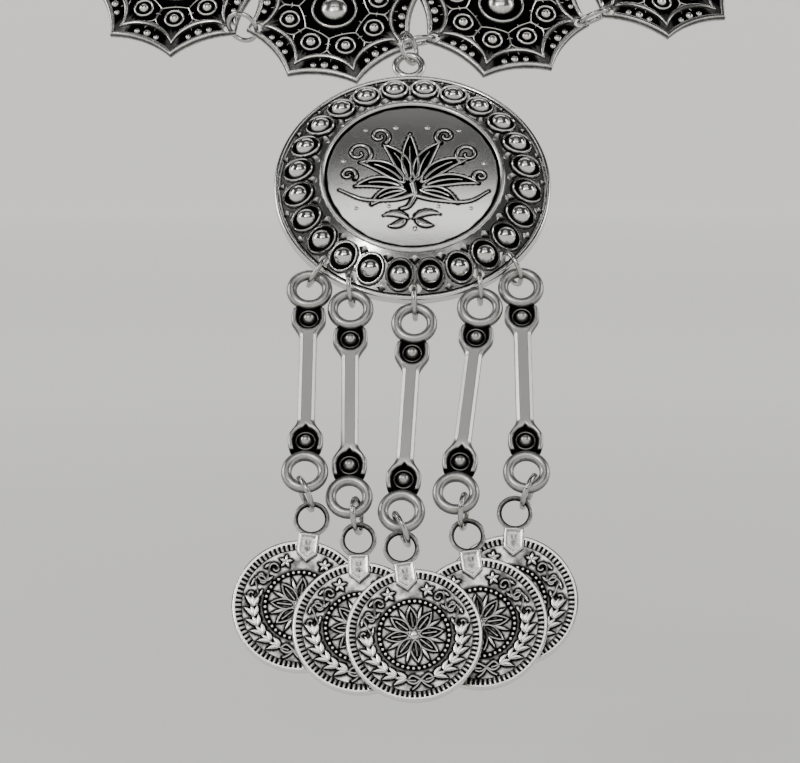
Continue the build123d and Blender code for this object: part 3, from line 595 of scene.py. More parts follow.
def dome(x, y, radius, rise, level, around=20, rows=6, root=0.9):
    """A ball sunk in a face: a cap of the given radius and rise over the level, with a short buried foot."""
    steps = np.linspace(0, pi / 2, rows + 1)[:-1]
    turn = np.linspace(0, 2 * pi, around, endpoint=False)
    out = np.concatenate([[radius * 0.98], radius * np.cos(steps)])
    up = np.concatenate([[-0.3 * rise], rise * np.sin(steps)])
    rings = np.stack([x + out[:, None] * np.cos(turn), y + out[:, None] * np.sin(turn),
                      level + up[:, None] + 0 * turn[None, :]], axis=-1)
    tarnish = np.concatenate([[root], root * (1 - np.sin(steps)) ** 2.2])
    return lofted(rings, tarnish[:, None])


def spike(x, y, radius, rise, level, turn):
    """A small four-sided pyramid with its foot sunk in the face."""
    corner = turn + np.linspace(0, 2 * pi, 4, endpoint=False)
    out, up = np.array([radius, radius, 0.08 * radius]), np.array([-0.3, 0.0, rise])
    rings = np.stack([x + out[:, None] * np.cos(corner), y + out[:, None] * np.sin(corner),
                      level + up[:, None] + 0 * corner[None, :]], axis=-1)
    return lofted(rings, np.array([0.8, 0.7, 0.0])[:, None])


def corner_points(mask):
    """The grid points at the corners of the marked faces."""
    marks = np.zeros((mask.shape[0] + 1, mask.shape[1]), bool)
    for faces in (mask, np.roll(mask, 1, axis=1)):
        marks[:-1] |= faces
        marks[1:] |= faces
    return marks


def hole_edges(kept, grid, after):
    """Pairs of points along the sides that left-out faces share with kept ones, in the kept faces' order."""
    edges = []
    cols = kept.shape[1]
    padded = np.zeros((kept.shape[0] + 2, cols), bool)
    padded[1:-1] = kept
    for row, col in zip(*np.nonzero(~kept)):
        if padded[row, col]:
            edges.append((after[row, [col]], grid[row, [col]]))
        if padded[row + 2, col]:
            edges.append((grid[row + 1, [col]], after[row + 1, [col]]))
        if kept[row, (col - 1) % cols]:
            edges.append((grid[row, [col]], grid[row + 1, [col]]))
        if kept[row, (col + 1) % cols]:
            edges.append((after[row + 1, [col]], after[row, [col]]))
    return edges


def slab(x, y, top, bottom, oxide_and_shade, back_oxide, low_rows, holes=()):
    """A cast plate over a polar grid: a top sheet, a bottom sheet on some of its rows, their edge and holes.

    x and y are grids of rows from the middle outwards. top, bottom and oxide are functions of the grid, and
    back_oxide holds the bottom sheet's oxide value for each row. Faces whose middle lies in a hole
    (x, y, radius) are left out, and the points round them are moved onto its circle.
    """
    rows, cols = x.shape
    middle_x = (x[:-1] + x[1:] + np.roll(x, -1, 1)[:-1] + np.roll(x, -1, 1)[1:]) / 4
    middle_y = (y[:-1] + y[1:] + np.roll(y, -1, 1)[:-1] + np.roll(y, -1, 1)[1:]) / 4
    kept = np.ones((rows - 1, cols), bool)
    for hx, hy, radius in holes:
        reach = np.hypot(middle_x - hx, middle_y - hy)
        cut = reach < radius
        kept &= ~cut
        rim = corner_points(cut) & corner_points(kept & (reach < 3 * radius))
        scale = np.where(rim, radius / np.maximum(np.hypot(x - hx, y - hy), 1e-6), 1.0)
        x, y = hx + (x - hx) * scale, hy + (y - hy) * scale
    upper = np.stack([x, y, top(x, y)], axis=-1).reshape(-1, 3)
    lower = np.stack([x, y, bottom(x, y)], axis=-1).reshape(-1, 3)
    count = rows * cols
    grid = np.arange(count).reshape(rows, cols)
    after = np.roll(grid, -1, axis=1)
    faces = [np.stack([grid[:-1], grid[1:], after[1:], after[:-1]], axis=-1)[kept]]
    for near, far in zip(low_rows[:-1], low_rows[1:]):
        quad = np.stack([after[near], after[far], grid[far], grid[near]], axis=-1) + count
        faces.append(quad[kept[near]] if far == near + 1 else quad)
    edges = [(after[-1], grid[-1])] + hole_edges(kept, grid, after)
    a = np.concatenate([pair[0] for pair in edges])
    b = np.concatenate([pair[1] for pair in edges])
    faces.append(np.stack([a, b, b + count, a + count], axis=-1))
    hearts = [upper[:cols].mean(axis=0), lower[:cols].mean(axis=0)]
    front, back = np.full(cols, 2 * count), np.full(cols, 2 * count + 1)
    faces.append(np.stack([grid[0], after[0], front, front], axis=-1))
    faces.append(np.stack([after[0] + count, grid[0] + count, back, back], axis=-1))
    tarnish = oxide_and_shade(x, y).reshape(-1)
    back_tarnish = np.broadcast_to(back_oxide, x.shape).reshape(-1)
    tarnish = np.concatenate([tarnish, back_tarnish, [tarnish[0], back_tarnish[0]]])
    points = np.concatenate([upper, lower, hearts])
    faces = np.concatenate([part.reshape(-1, 4) for part in faces])
    used = np.unique(faces)
    place = np.zeros(len(points), int)
    place[used] = np.arange(len(used))
    return Shell(points[used], place[faces], tarnish[used]).outward()


def step(value, low, high):
    """0 below low, 1 above high, and a smooth S between."""
    t = np.clip((value - low) / (high - low), 0, 1)
    return t * t * (3 - 2 * t)


def on_circle(radius, angle):
    """The point at this radius and angle in degrees."""
    return radius * cos(radians(angle)), radius * sin(radians(angle))


# Star plate

def star_radius(angle, tip, sag):
    """How far the star's outline is from the middle at an angle in degrees from a side's middle."""
    angle = np.radians(np.asarray(angle, float))
    chord, half = tip * cos(radians(HALF_TIP)), tip * sin(radians(HALF_TIP))
    bend = (half ** 2 + sag ** 2) / (2 * sag)
    far = chord - sag + bend
    return far * np.cos(angle) - np.sqrt(np.maximum(bend ** 2 - (far * np.sin(angle)) ** 2, 0))


def line_profile(share):
    """Height of a cast line across its width: a flat round top that falls off at both sides."""
    return np.clip(1 - np.abs(2 * share - 1) ** 5, 0, 1)


def plate_relief():
    """A plate's relief: the middle boss, and eight times a ringed stud, three dots and the web's lines."""
    shells = [dome(0, 0, BOSS_BALL, BOSS_HEIGHT, PLATE_BASE + 0.05, around=36, rows=10)]
    turn = np.linspace(0, 2 * pi, 24, endpoint=False)
    for tip in range(TIP_COUNT):
        x, y = on_circle(STUD_CIRCLE, (2 * tip + 1) * HALF_TIP)
        circle = np.stack([x + STUD_RING * np.cos(turn), y + STUD_RING * np.sin(turn)], axis=-1)
        shells.append(ridge(circle, STUD_RING_WIDTH, STUD_RING_HEIGHT, PLATE_BASE, closed=True, around=7))
        shells.append(dome(x, y, STUD_BALL, STUD_HEIGHT, PLATE_BASE, around=16, rows=6))
        out = np.array(on_circle(1.0, 2 * tip * HALF_TIP))
        aside = np.array([-out[1], out[0]])
        for shift, radius in ((-DOT_SPACING, SIDE_DOT_BALL), (0.0, DOT_BALL), (DOT_SPACING, SIDE_DOT_BALL)):
            spot = out * (DOT_CIRCLE + 0.12 * abs(shift)) + aside * shift
            shells.append(dome(spot[0], spot[1], radius, radius * 0.9, PLATE_BASE, around=14, rows=4))
        beside = np.array(on_circle(1.0, 2 * (tip + 1) * HALF_TIP))
        shells += [ridge(path, width, height, PLATE_BASE, around=5)
                   for path, width, height in web_lines(out, aside, beside)]
    return shells


def web_lines(out, aside, beside):
    """The web at one side of the star, as (path, widths, height) for each line.

    An arch bows in from this side's direction to the next one's, with a spur inside it. A stem runs out
    between two studs, thick at both ends, with a fork at its end, and a spur and a short stay on each hand.
    """
    t = np.linspace(0, 1, 9)[:, None]
    middle = unit(out + beside)
    arch = (1 - t) * out * WEB_TIP + t * beside * WEB_TIP - 4 * t * (1 - t) * middle * WEB_SAG
    lines = [(arch, WEB_WIDTH, WEB_HEIGHT),
             ([middle * 5.75, middle * 5.3], [0.3, 0.1], 0.3),
             ([out * 6.4, out * 7.2, out * 8.2, out * 9.2], [0.55, 0.3, 0.3, 0.55], WEB_HEIGHT)]
    for hand in (-aside, aside):
        lines.append(([out * 9.1, out * 9.7 + hand * 0.55, out * 10.1 + hand * 1.25], [0.4, 0.3, 0.2], 0.32))
        lines.append(([out * 7.6, out * 7.9 + hand * 0.5], [0.3, 0.12], 0.28))
        lines.append(([out * 11.0 + hand * 0.9, out * 11.5 + hand * 1.05], [0.25, 0.12], 0.26))
    return lines


def plate_shells():
    """A star plate: a sunk black ground with a border, a star line, ringed bosses, dots and web lines."""
    cols = TIP_COUNT * 24
    angle = np.arange(cols) * 360 / cols
    side = (angle + HALF_TIP) % (2 * HALF_TIP) - HALF_TIP
    outer = star_radius(side, PLATE_TIP, PLATE_SAG)
    outer_in = star_radius(side, PLATE_TIP - EDGE_BAND, PLATE_SAG + 0.05)
    inner = star_radius(side, INNER_TIP, INNER_SAG)
    inner_in = star_radius(side, INNER_TIP - INNER_BAND, INNER_SAG - 0.02)
    even = np.ones(cols)
    ring_in = BOSS_RING - BOSS_RING_WIDTH
    ground, ring, star, border = range(4)
    bands = [(0.3 * even, BOSS_BALL * even, 3, ground),
             ((BOSS_BALL + 0.12) * even, (ring_in - 0.06) * even, 3, ground),
             (ring_in * even, BOSS_RING * even, 7, ring),
             ((BOSS_RING + 0.05) * even, inner_in - LINE_FOOT, 9, ground),
             (inner_in, inner, 7, star),
             (inner + LINE_FOOT, outer_in - LINE_FOOT, 6, ground),
             (outer_in, outer, 9, border)]
    radii = np.array([low + (high - low) * t
                      for low, high, count, _ in bands for t in np.linspace(0, 1, count)])
    line = np.concatenate([np.full(count, kind) for _, _, count, kind in bands])[:, None]
    share = np.concatenate([np.linspace(0, 1, count) for _, _, count, _ in bands])[:, None]
    turn = np.radians(angle)[None, :]
    x, y = radii * np.cos(turn), radii * np.sin(turn)
    heights = np.select([line == ring, line == star, line == border],
                        [INNER_HEIGHT, INNER_HEIGHT, EDGE_HEIGHT], 0.0)
    raised = heights * line_profile(share) * np.ones_like(x)
    near_tip = step(np.abs(side)[None, :], 15.5, 19.0) * (line == ground) * (radii > 11)
    reach = PLATE_TIP - HOLE_INSET
    holes = [(*on_circle(reach, tip), JOINT_HOLE / 2) for tip in (-HALF_TIP, 180 + HALF_TIP)]

    def top(gx, gy):
        """The ground, a little higher towards the tips, plus the lines, less a flat face round each hole."""
        z = PLATE_BASE + raised + 0.18 * near_tip
        for hx, hy, _ in holes:
            face = step(np.hypot(gx - hx, gy - hy), HOLE_FACE / 2 - 0.1, HOLE_FACE / 2 + 0.15)
            z = PLATE_BASE + (z - PLATE_BASE) * face
        return z

    def bottom(gx, gy):
        """The back: flat under the border and a little hollow within it."""
        return np.where(line == border, 0.0, PLATE_BACK_HOLLOW) * np.ones_like(gx)

    def tarnish(gx, gy):
        """Black ground, bright crests, and a worn face round the holes and beside the tips."""
        value = np.where(line == ground, 1.0, 0.75 * (1 - line_profile(share)) ** 0.7) * np.ones_like(gx)
        value = value - 0.45 * near_tip
        for hx, hy, _ in holes:
            value = np.where(np.hypot(gx - hx, gy - hy) < HOLE_FACE / 2, 0.3, value)
        return value

    hole_rows = np.flatnonzero(radii.max(axis=1) > 12.6)
    low = [0, 3, 6, 13, 17] + list(map(int, hole_rows))
    back_tone = np.where(line == border, 0.1, 0.48)
    return joined([slab(x, y, top, bottom, tarnish, back_tone, low, holes)] + plate_relief())


# Medallion

def curve(points, count=28):
    """A smooth path through a few points: each stretch is a cubic whose ends follow their neighbours."""
    points = np.asarray(points, float)
    padded = np.concatenate([[2 * points[0] - points[1]], points, [2 * points[-1] - points[-2]]])
    t = np.linspace(0, len(points) - 1 - 1e-9, count)
    k = t.astype(int)
    f = (t - k)[:, None]
    p0, p1, p2, p3 = padded[k], padded[k + 1], padded[k + 2], padded[k + 3]
    square = 2 * p0 - 5 * p1 + 4 * p2 - p3
    cube = 3 * p1 - p0 - 3 * p2 + p3
    return 0.5 * (2 * p1 + (p2 - p0) * f + square * f ** 2 + cube * f ** 3)


def leaf_path(x, y, length, turn, bend=0.0, count=7):
    """The middle line of a leaf, bowed to one side."""
    t = np.linspace(0, 1, count)
    along = length * t
    across = bend * length * 4 * t * (1 - t)
    c, s = cos(radians(turn)), sin(radians(turn))
    return np.stack([x + along * c - across * s, y + along * s + across * c], axis=-1)


def leaf_width(width, count=7):
    """A leaf's width along it: full before the middle, pointed at its tip."""
    t = np.linspace(0, 1, count)
    return np.maximum(width * np.sin(pi * t ** 0.8) ** 0.85, 0.05)


def leaf_edge(x, y, length, width, turn, bend=0.0, count=9):
    """The outline of a bowed leaf as a closed path, and its middle line."""
    middle = leaf_path(x, y, length, turn, bend, count)
    half = leaf_width(width, count)[:, None] / 2
    run = np.gradient(middle, axis=0)
    side = np.stack([-run[:, 1], run[:, 0]], axis=-1) / np.linalg.norm(run, axis=1, keepdims=True)
    edge = np.concatenate([middle + side * half, (middle - side * half)[-2:0:-1]])
    return np.concatenate([edge, edge[:1]]), middle


def curl(x, y, size, start, sweep, count=34):
    """A tendril that winds in from its start angle to a small eye."""
    t = np.linspace(0, 1, count)
    angle = np.radians(start + sweep * t)
    radius = size * (1 - 0.8 * t)
    return np.stack([x + radius * np.cos(angle), y + radius * np.sin(angle)], axis=-1)


def disc_flourish():
    """The relief on the disc: (lines, black ground), each a list of (path, widths).

    A spray of outlined leaves fans from a short stem, their insides cut black with a raised rib. Tendrils
    curl between and beside them, with two long bowed stems below and a small sprig under all.
    """
    lines, ground = [], []
    leaves = [dict(x=0.0, y=-1.6, length=10.6, width=2.9, turn=91, bend=0.02),
              dict(x=-0.7, y=-1.2, length=8.8, width=2.6, turn=118, bend=-0.10),
              dict(x=0.8, y=-1.2, length=9.0, width=2.6, turn=63, bend=0.10),
              dict(x=-1.4, y=-1.7, length=9.0, width=2.5, turn=149, bend=-0.12),
              dict(x=1.5, y=-1.7, length=9.6, width=2.5, turn=31, bend=0.12),
              dict(x=-1.6, y=-2.6, length=8.4, width=2.2, turn=177, bend=-0.12),
              dict(x=1.7, y=-2.6, length=9.8, width=2.3, turn=4, bend=0.12),
              dict(x=-1.2, y=-3.4, length=6.6, width=1.9, turn=204, bend=-0.14),
              dict(x=1.3, y=-3.4, length=7.0, width=1.9, turn=-23, bend=0.14)]
    for leaf in leaves:
        edge, middle = leaf_edge(**leaf, count=12)
        lines.append((edge, 0.42))
        lines.append((middle[1:9], np.linspace(0.5, 0.2, 8)))
        ground.append((middle, leaf_width(leaf["width"], 12)))
    curls = [dict(x=-9.3, y=5.0, size=2.4, start=-60, sweep=430),
             dict(x=9.8, y=4.4, size=2.2, start=240, sweep=-430),
             dict(x=-5.6, y=8.6, size=1.9, start=-60, sweep=430),
             dict(x=6.0, y=8.4, size=1.8, start=240, sweep=-430),
             dict(x=-11.2, y=0.4, size=1.5, start=-40, sweep=400),
             dict(x=11.9, y=-0.4, size=1.3, start=220, sweep=-400)]
    for tendril in curls:
        path = curl(**tendril)
        lines.append((path, np.linspace(0.62, 0.3, len(path))))
    left_stem = [(-12.8, -2.8), (-8.6, -5.0), (-3.4, -5.2), (0.0, -4.2)]
    right_stem = [(13.2, -3.6), (9.4, -5.8), (3.8, -5.4), (0.0, -4.2)]
    for points in (left_stem, right_stem):
        lines.append((curve(points, 22), np.linspace(0.25, 0.8, 22)))
    foot = [(0.0, -1.8), (0.3, -4.2), (-0.8, -6.6), (-2.2, -7.2)]
    lines.append((curve(foot, 16), np.linspace(1.1, 0.4, 16)))
    sprig = [dict(x=-0.9, length=4.4, turn=170, bend=-0.18), dict(x=-0.1, length=4.8, turn=10, bend=0.18),
             dict(x=-1.4, length=3.2, turn=207, bend=0.12), dict(x=0.4, length=3.2, turn=-27, bend=-0.12)]
    for leaf in sprig:
        lines.append((leaf_path(y=-9.3, **leaf), leaf_width(1.3)))
    ground.append((curve([(-2.8, 2.0), (0.0, 3.4), (2.8, 2.0)], 10), 1.4))
    ground.append((curve([(-3.6, -2.0), (0.0, -2.6), (3.6, -2.0)], 10), 2.0))
    return lines, ground


def disc_level(radius):
    """The disc's height: a shallow crown that falls to the dome's rise at its edge."""
    edge = INNER_RING - INNER_RING_WIDTH - GROOVE_WIDTH
    return DOME_RISE + DISC_CROWN * (1 - np.minimum(radius / edge, 1) ** 2)


def cone_level(radius):
    """Height of the sloping band between the rim and the raised ring."""
    inner = MEDAL_RADIUS - RIM_WIDTH
    return DOME_RISE * (inner - radius) / (inner - INNER_RING)


def distance_to_lines(px, py, lines, batch):
    """How far points are from the nearest line's edge, worked out for one batch of line points at a time."""
    trace = np.concatenate([path for path, _ in lines])
    broad = np.concatenate([np.broadcast_to(width, len(path)) for path, width in lines])
    reach = np.full(px.shape, 9.0)
    for start in range(0, len(trace), batch):
        spots, wide = trace[start:start + batch], broad[start:start + batch]
        gap = np.hypot(px[..., None] - spots[:, 0], py[..., None] - spots[:, 1]) - wide / 2
        reach = np.minimum(reach, gap.min(axis=-1))
    return reach


def cup_shells():
    """The band of balls in raised oval cups, with a spike before and behind each gap between two cups."""
    shells = []
    slope = atan2(DOME_RISE, MEDAL_RADIUS - RIM_WIDTH - INNER_RING)
    ring = np.linspace(0, 2 * pi, 30, endpoint=False)
    half_width, half_length = (CUP_WIDTH - CUP_WALL) / 2, (CUP_LENGTH - CUP_WALL) / 2
    oval = np.stack([half_width * np.cos(ring), half_length * np.sin(ring)], axis=-1)
    cup = [ridge(oval, CUP_WALL, CUP_HEIGHT, 0.0, closed=True, around=8, root=0.95),
           dome(0, 0, CUP_BALL, CUP_BALL_HEIGHT, 0.0, around=26, rows=11)]
    spacing = 2 * pi / CUP_COUNT
    for number in range(CUP_COUNT):
        a = -pi / 2 + (number + 0.5) * spacing
        spot = Frame(np.array([CUP_CIRCLE * cos(a), CUP_CIRCLE * sin(a), cone_level(CUP_CIRCLE)]),
                     np.array([-sin(a), cos(a), 0.0]),
                     np.array([cos(a) * sin(slope), sin(a) * sin(slope), cos(slope)]))
        shells += [shell.carried(spot) for shell in cup]
        b = -pi / 2 + number * spacing
        holed = any(abs(degrees(number * spacing) - drop["hole"]) % 360 < 7.5 for drop in DROPS)
        for row in SPIKES:
            if holed and row["reach"] > 0:
                continue
            radius, size = CUP_CIRCLE + row["reach"], row["radius"]
            height = SPIKE_SLOPE * size
            shells.append(spike(radius * cos(b), radius * sin(b), size, height, cone_level(radius), b))
    return shells


def medallion_shells():
    """The medallion: rim, sloping band of balls, raised ring, polished disc with its spray, and loop."""
    cols = CUP_COUNT * 13
    turn = np.arange(cols) * 2 * pi / cols
    inner = MEDAL_RADIUS - RIM_WIDTH
    ring_in = INNER_RING - INNER_RING_WIDTH
    disc = ring_in - GROOVE_WIDTH
    radii = np.concatenate([np.linspace(0.3, disc - 0.1, 84),
                            [disc, disc + 0.04, ring_in - 0.06, ring_in],
                            np.linspace(ring_in + 0.05, INNER_RING, 9),
                            [INNER_RING + 0.06],
                            np.linspace(INNER_RING + 0.3, inner - 0.1, 24),
                            [inner, inner + 0.05, inner + 0.3],
                            np.linspace(inner + 0.36, MEDAL_RADIUS, 10)])
    x, y = radii[:, None] * np.cos(turn), radii[:, None] * np.sin(turn)
    holes = [(DROP_HOLE_CIRCLE * sin(radians(drop["hole"])), -DROP_HOLE_CIRCLE * cos(radians(drop["hole"])),
              DROP_HOLE / 2) for drop in DROPS]

    def top(gx, gy):
        """Crowned disc, sunk groove, round raised ring, slope, sunk groove and round rim, by radius."""
        r = np.hypot(gx, gy)
        low = DOME_RISE - GROOVE_DEPTH
        ring = DOME_RISE + INNER_RING_HEIGHT * line_profile(np.clip((r - ring_in) / INNER_RING_WIDTH, 0, 1))
        band = np.clip((r - inner - 0.32) / (MEDAL_RADIUS - inner - 0.32), 0, 1)
        rim = RIM_RISE * np.sin(pi * (0.14 + 0.86 * band)) ** 0.7
        ends = [r <= disc + 0.01, r < ring_in - 0.01, r <= INNER_RING + 0.01, r <= inner + 0.01,
                r < inner + 0.32]
        return np.select(ends, [disc_level(r), low + 0 * r, ring, cone_level(r), -GROOVE_DEPTH + 0 * r], rim)

    def bottom(gx, gy):
        """The hollow back: flat under the rim and a shallow cone behind the dome."""
        r = np.hypot(gx, gy)
        slope = -MEDAL_WALL + (DOME_RISE - 0.2 * MEDAL_WALL) * (inner - r) / (inner - INNER_RING)
        crown = DOME_RISE - MEDAL_WALL - 0.2 * MEDAL_WALL * r / INNER_RING
        return np.select([r <= INNER_RING, r <= inner], [crown, np.minimum(slope, crown)], -MEDAL_WALL)

    lines, ground = disc_flourish()

    def tarnish(gx, gy):
        """Black in the grooves, the cups and round the spray; bright on the disc, ring, slope and rim."""
        r, a = np.hypot(gx, gy), np.arctan2(gy, gx)
        ends = [r <= disc - 0.05, r < ring_in + 0.02, r <= INNER_RING - 0.05, r <= inner - 0.05,
                r < inner + 0.26]
        value = np.select(ends, [0.0, 1.0, 0.0, 0.07, 0.85], 0.03) + 0 * r
        ragged = 0.2 + 0.16 * np.sin(23 * a) * np.sin(7 * a + 1)
        value = np.where(r <= disc - 0.05, 0.9 * step(r, disc - 0.1 - ragged, disc), value)
        spacing = 2 * pi / CUP_COUNT
        near = (np.round((a + pi / 2) / spacing - 0.5) + 0.5) * spacing - pi / 2
        along, across = r * np.cos(a - near) - CUP_CIRCLE, r * np.sin(a - near)
        oval = np.hypot(along / (CUP_LENGTH / 2), across / (CUP_WIDTH / 2))
        cups = np.where(oval < 1.0, 1.0, np.clip(0.5 - 6.0 * (oval - 1), value, 1))
        value = np.where((r > INNER_RING) & (r < inner), cups, value)
        mask = r < disc
        reach = distance_to_lines(gx[mask], gy[mask], lines + ground, 60)
        value[mask] = np.maximum(value[mask], 1 - step(reach, 0.12, 0.5))
        return value

    count = len(radii)
    hole_rows = np.flatnonzero((radii > 20.2) & (radii < 23.4))
    low = sorted(set([0, 20, 40, 60, 84, 96, 102, 108] + list(map(int, hole_rows)) + [count - 6, count - 1]))
    back_ends = [radii < 0.97 * INNER_RING, radii < 1.03 * INNER_RING, radii < inner]
    back_tone = np.select(back_ends, [0.36, 0.1, 0.55], 0.1)[:, None]
    shells = [slab(x, y, top, bottom, tarnish, back_tone, low, holes)] + cup_shells()
    for path, width in lines:
        level = disc_level(np.hypot(path[:, 0], path[:, 1])) - DISC_LINE_SINK
        shells.append(ridge(path, width, 0.14 + 0.12 * np.asarray(width) ** 0.5, level, around=7, root=0.8))
    for dx, dy, radius in DISC_DOTS:
        shells.append(dome(dx, dy, radius, 0.25, disc_level(hypot(dx, dy)), around=14, rows=4))
    loop = wire_ring((MEDAL_LOOP - MEDAL_LOOP_WIRE) / 2, MEDAL_LOOP_WIRE, along=52, around=18, oxide_and_shade=0.12)
    shells.append(loop.carried(Frame([0, MEDAL_LOOP_REACH, MEDAL_LOOP_LEVEL], X_AXIS, Z_AXIS)))
    return joined(shells)


# Bar link

def quarter_round(distance, radius):
    """How far a rounded edge of this radius has dropped at a distance from the edge."""
    return radius * (1 - np.sqrt(1 - np.clip(1 - distance / radius, 0, 1) ** 2))


def bar_shells():
    """A bar link: rows of sections along Y, flat-topped with bevels, opened into a black cup at each fork.

    The outline is the bar's width, flares to the fork and closes in again along an ellipse round the ball.
    The top falls off in a quarter round at the outer edge and at the cup's edge, so that the arms look like
    wire. The upper cup is round, the lower one runs up to a point, and the arms end just short of the thick
    rings.
    """
    ball_at = LINK_SPAN / 2 - FORK_REACH
    end = LINK_SPAN / 2 - BAR_END
    arm_end = end - ARM_GAP
    rows = np.linspace(8.0, end, 56)
    y = np.concatenate([-rows[::-1], np.linspace(-7.6, 7.6, 9), rows])[:, None]
    s = np.abs(y)
    arms = FORK_WIDTH / 2 * np.sqrt(1 - ((s - ball_at) / FORK_LENGTH) ** 2 * (s > ball_at))
    flare = BAR_WIDTH / 2 + (FORK_WIDTH / 2 - BAR_WIDTH / 2) * step(s, FLARE_START, FLARE_END)
    half = np.where(s > ball_at, arms, flare)
    corner = np.linspace(0, pi / 2, 7)
    left, right = -0.7 - 0.3 * np.cos(corner)[:-1], 0.7 + 0.3 * np.sin(corner)[1:]
    across = np.concatenate([left, np.linspace(-0.7, 0.7, 28), right])
    x = half * across
    gy = np.broadcast_to(y, x.shape)
    fork = step(s, FLARE_START, FLARE_START + 2.0)
    level = (BAR_DEPTH / 2) * (1 - fork) + (FORK_DEPTH / 2 + 0.2) * fork
    edge = half - np.abs(x)
    rounded = np.hypot(x, (ball_at - s) / 1.1) - FORK_CUP
    pointed = np.minimum(rounded, np.abs(x) * 1.25 + np.maximum(ball_at - s, 0) - FORK_CUP - 0.75)
    beside = np.abs(x) - FORK_CUP * half / (FORK_WIDTH / 2)
    reach = np.where(s > ball_at, beside, np.where(gy > 0, rounded, pointed))
    bevel = np.clip(BAR_BEVEL - edge, 0, None) * 0.85 * (1 - fork)
    outer_round = quarter_round(np.minimum(edge, arm_end - s), 0.5) * fork
    inner_round = quarter_round(reach, 0.4) * (reach > 0)
    pit = np.maximum(1 - step(reach, -0.1, 0.1), step(s, arm_end, arm_end + 0.2))
    z = (level - bevel - outer_round - inner_round) * (1 - pit) + CUP_FLOOR * pit
    # Black oxide in the cups round the balls and past the arms' ends, plus a painted shade line along the
    # outer edge.
    cup_black_and_edge_shade = 1 - step(np.minimum(reach, arm_end - s), -0.05, 0.22) + 0.6 * (1 - step(edge, 0.0, 0.16))
    under = across[::-3]
    low_x = half * under
    low_level = (BAR_DEPTH / 2) * (1 - fork) + (FORK_DEPTH / 2) * fork
    low_z = -(low_level - np.clip(0.35 - (half - np.abs(low_x)), 0, None) * 0.9)
    # The underside takes a grey tone, and its side walls a darker painted shade that outlines the bar.
    underside_tone_and_side_shade = np.where(np.abs(under) > 0.9, 0.6, 0.3) * np.ones_like(low_x)
    upper = np.stack([x, gy, z], axis=-1)
    lower = np.stack([low_x, np.broadcast_to(y, low_x.shape), low_z], axis=-1)
    tones = np.concatenate([np.clip(cup_black_and_edge_shade, 0, 1), underside_tone_and_side_shade], axis=1)
    shells = [lofted(np.concatenate([upper, lower], axis=1), tones)]
    circle = np.linspace(0, 2 * pi, 28, endpoint=False)
    section = np.linspace(0, 2 * pi, 18, endpoint=False)
    # Painted shade: each thick ring is bright at its front and back and darker towards its inner and outer
    # sides.
    painted_side_shade = 0.1 + 0.6 * (1 - np.abs(np.sin(section))) ** 1.3
    ring_radius, ring_wire = (LINK_RING + LINK_EYE) / 4, (LINK_RING - LINK_EYE) / 2
    thick = wire_ring(ring_radius, ring_wire, along=56, around=18, oxide_and_shade=painted_side_shade)
    for sign in (-1, 1):
        shells.append(thick.carried(Frame([0, sign * LINK_SPAN / 2, 0], X_AXIS, Z_AXIS)))
        lip = np.stack([FORK_LIP * np.cos(circle), sign * ball_at + FORK_LIP * np.sin(circle)], axis=-1)
        shells.append(ridge(lip, FORK_LIP_WIDTH, FORK_LIP_HEIGHT, CUP_FLOOR, closed=True, around=7, root=1.0))
        shells.append(dome(0, sign * ball_at, FORK_BALL, FORK_BALL_HEIGHT, CUP_FLOOR,
                           around=22, rows=8, root=1.0))
    return joined(shells)


# Coin

def scroll(x, y, size, turn, flip=1):
    """A pair of opposed curls joined by a bowed stem, turned about its middle."""
    t = np.linspace(0, 1, 26)
    angle = 2.2 * pi * np.abs(2 * t - 1) ** 0.9
    sign = np.sign(t - 0.5)
    radius = 0.42 * size * (1 - 0.7 * np.abs(2 * t - 1))
    px = sign * (0.55 * size - radius * np.cos(angle) * 0.9)
    py = flip * sign * radius * np.sin(angle) + flip * 0.12 * size * np.cos(pi * t)
    c, s = cos(radians(turn)), sin(radians(turn))
    return np.stack([x + px * c - py * s, y + px * s + py * c], axis=-1)


def rosette_lines():
    """The rosette in the coin's middle: outlined petals with a rib, and a small leaf in each gap."""
    lines = []
    for number in range(PETAL_COUNT):
        turn = 360 / PETAL_COUNT * number
        between = turn + 180 / PETAL_COUNT
        edge, middle = leaf_edge(*on_circle(0.8, turn), 3.9, 1.7, turn)
        lines.append((edge, 0.36))
        lines.append((middle[1:7], 0.34))
        lines.append((leaf_path(*on_circle(2.6, between), 2.3, between), leaf_width(0.62)))
    return lines


def laurel_lines():
    """The laurel round the coin's lower half: two stems with threes of leaves, up from a bow at the foot."""
    lines = []
    for sign in (-1, 1):
        stem = np.radians(-90 + sign * np.linspace(6, 84, 16))
        lines.append((LAUREL_CIRCLE * np.stack([np.cos(stem), np.sin(stem)], axis=-1), 0.34))
        for number in range(LAUREL_BUNCHES):
            turn = -90 + sign * (17 + 13.0 * number)
            for lean, length in ((sign * 58, 2.3), (sign * 120, 2.1), (sign * 88, 1.9)):
                path = leaf_path(*on_circle(LAUREL_CIRCLE, turn), length, turn + lean, 0.08 * sign)
                lines.append((path, leaf_width(0.92)))
        bow = [(0, -7.6), (sign * 1.3, -6.8), (sign * 2.1, -7.6), (sign * 1.1, -8.2), (0, -7.6)]
        lines.append((curve(bow, 12), 0.42))
        lines.append((curve([(0, -7.7), (sign * 0.8, -8.6), (sign * 1.6, -9.1)], 6), 0.4))
    return lines


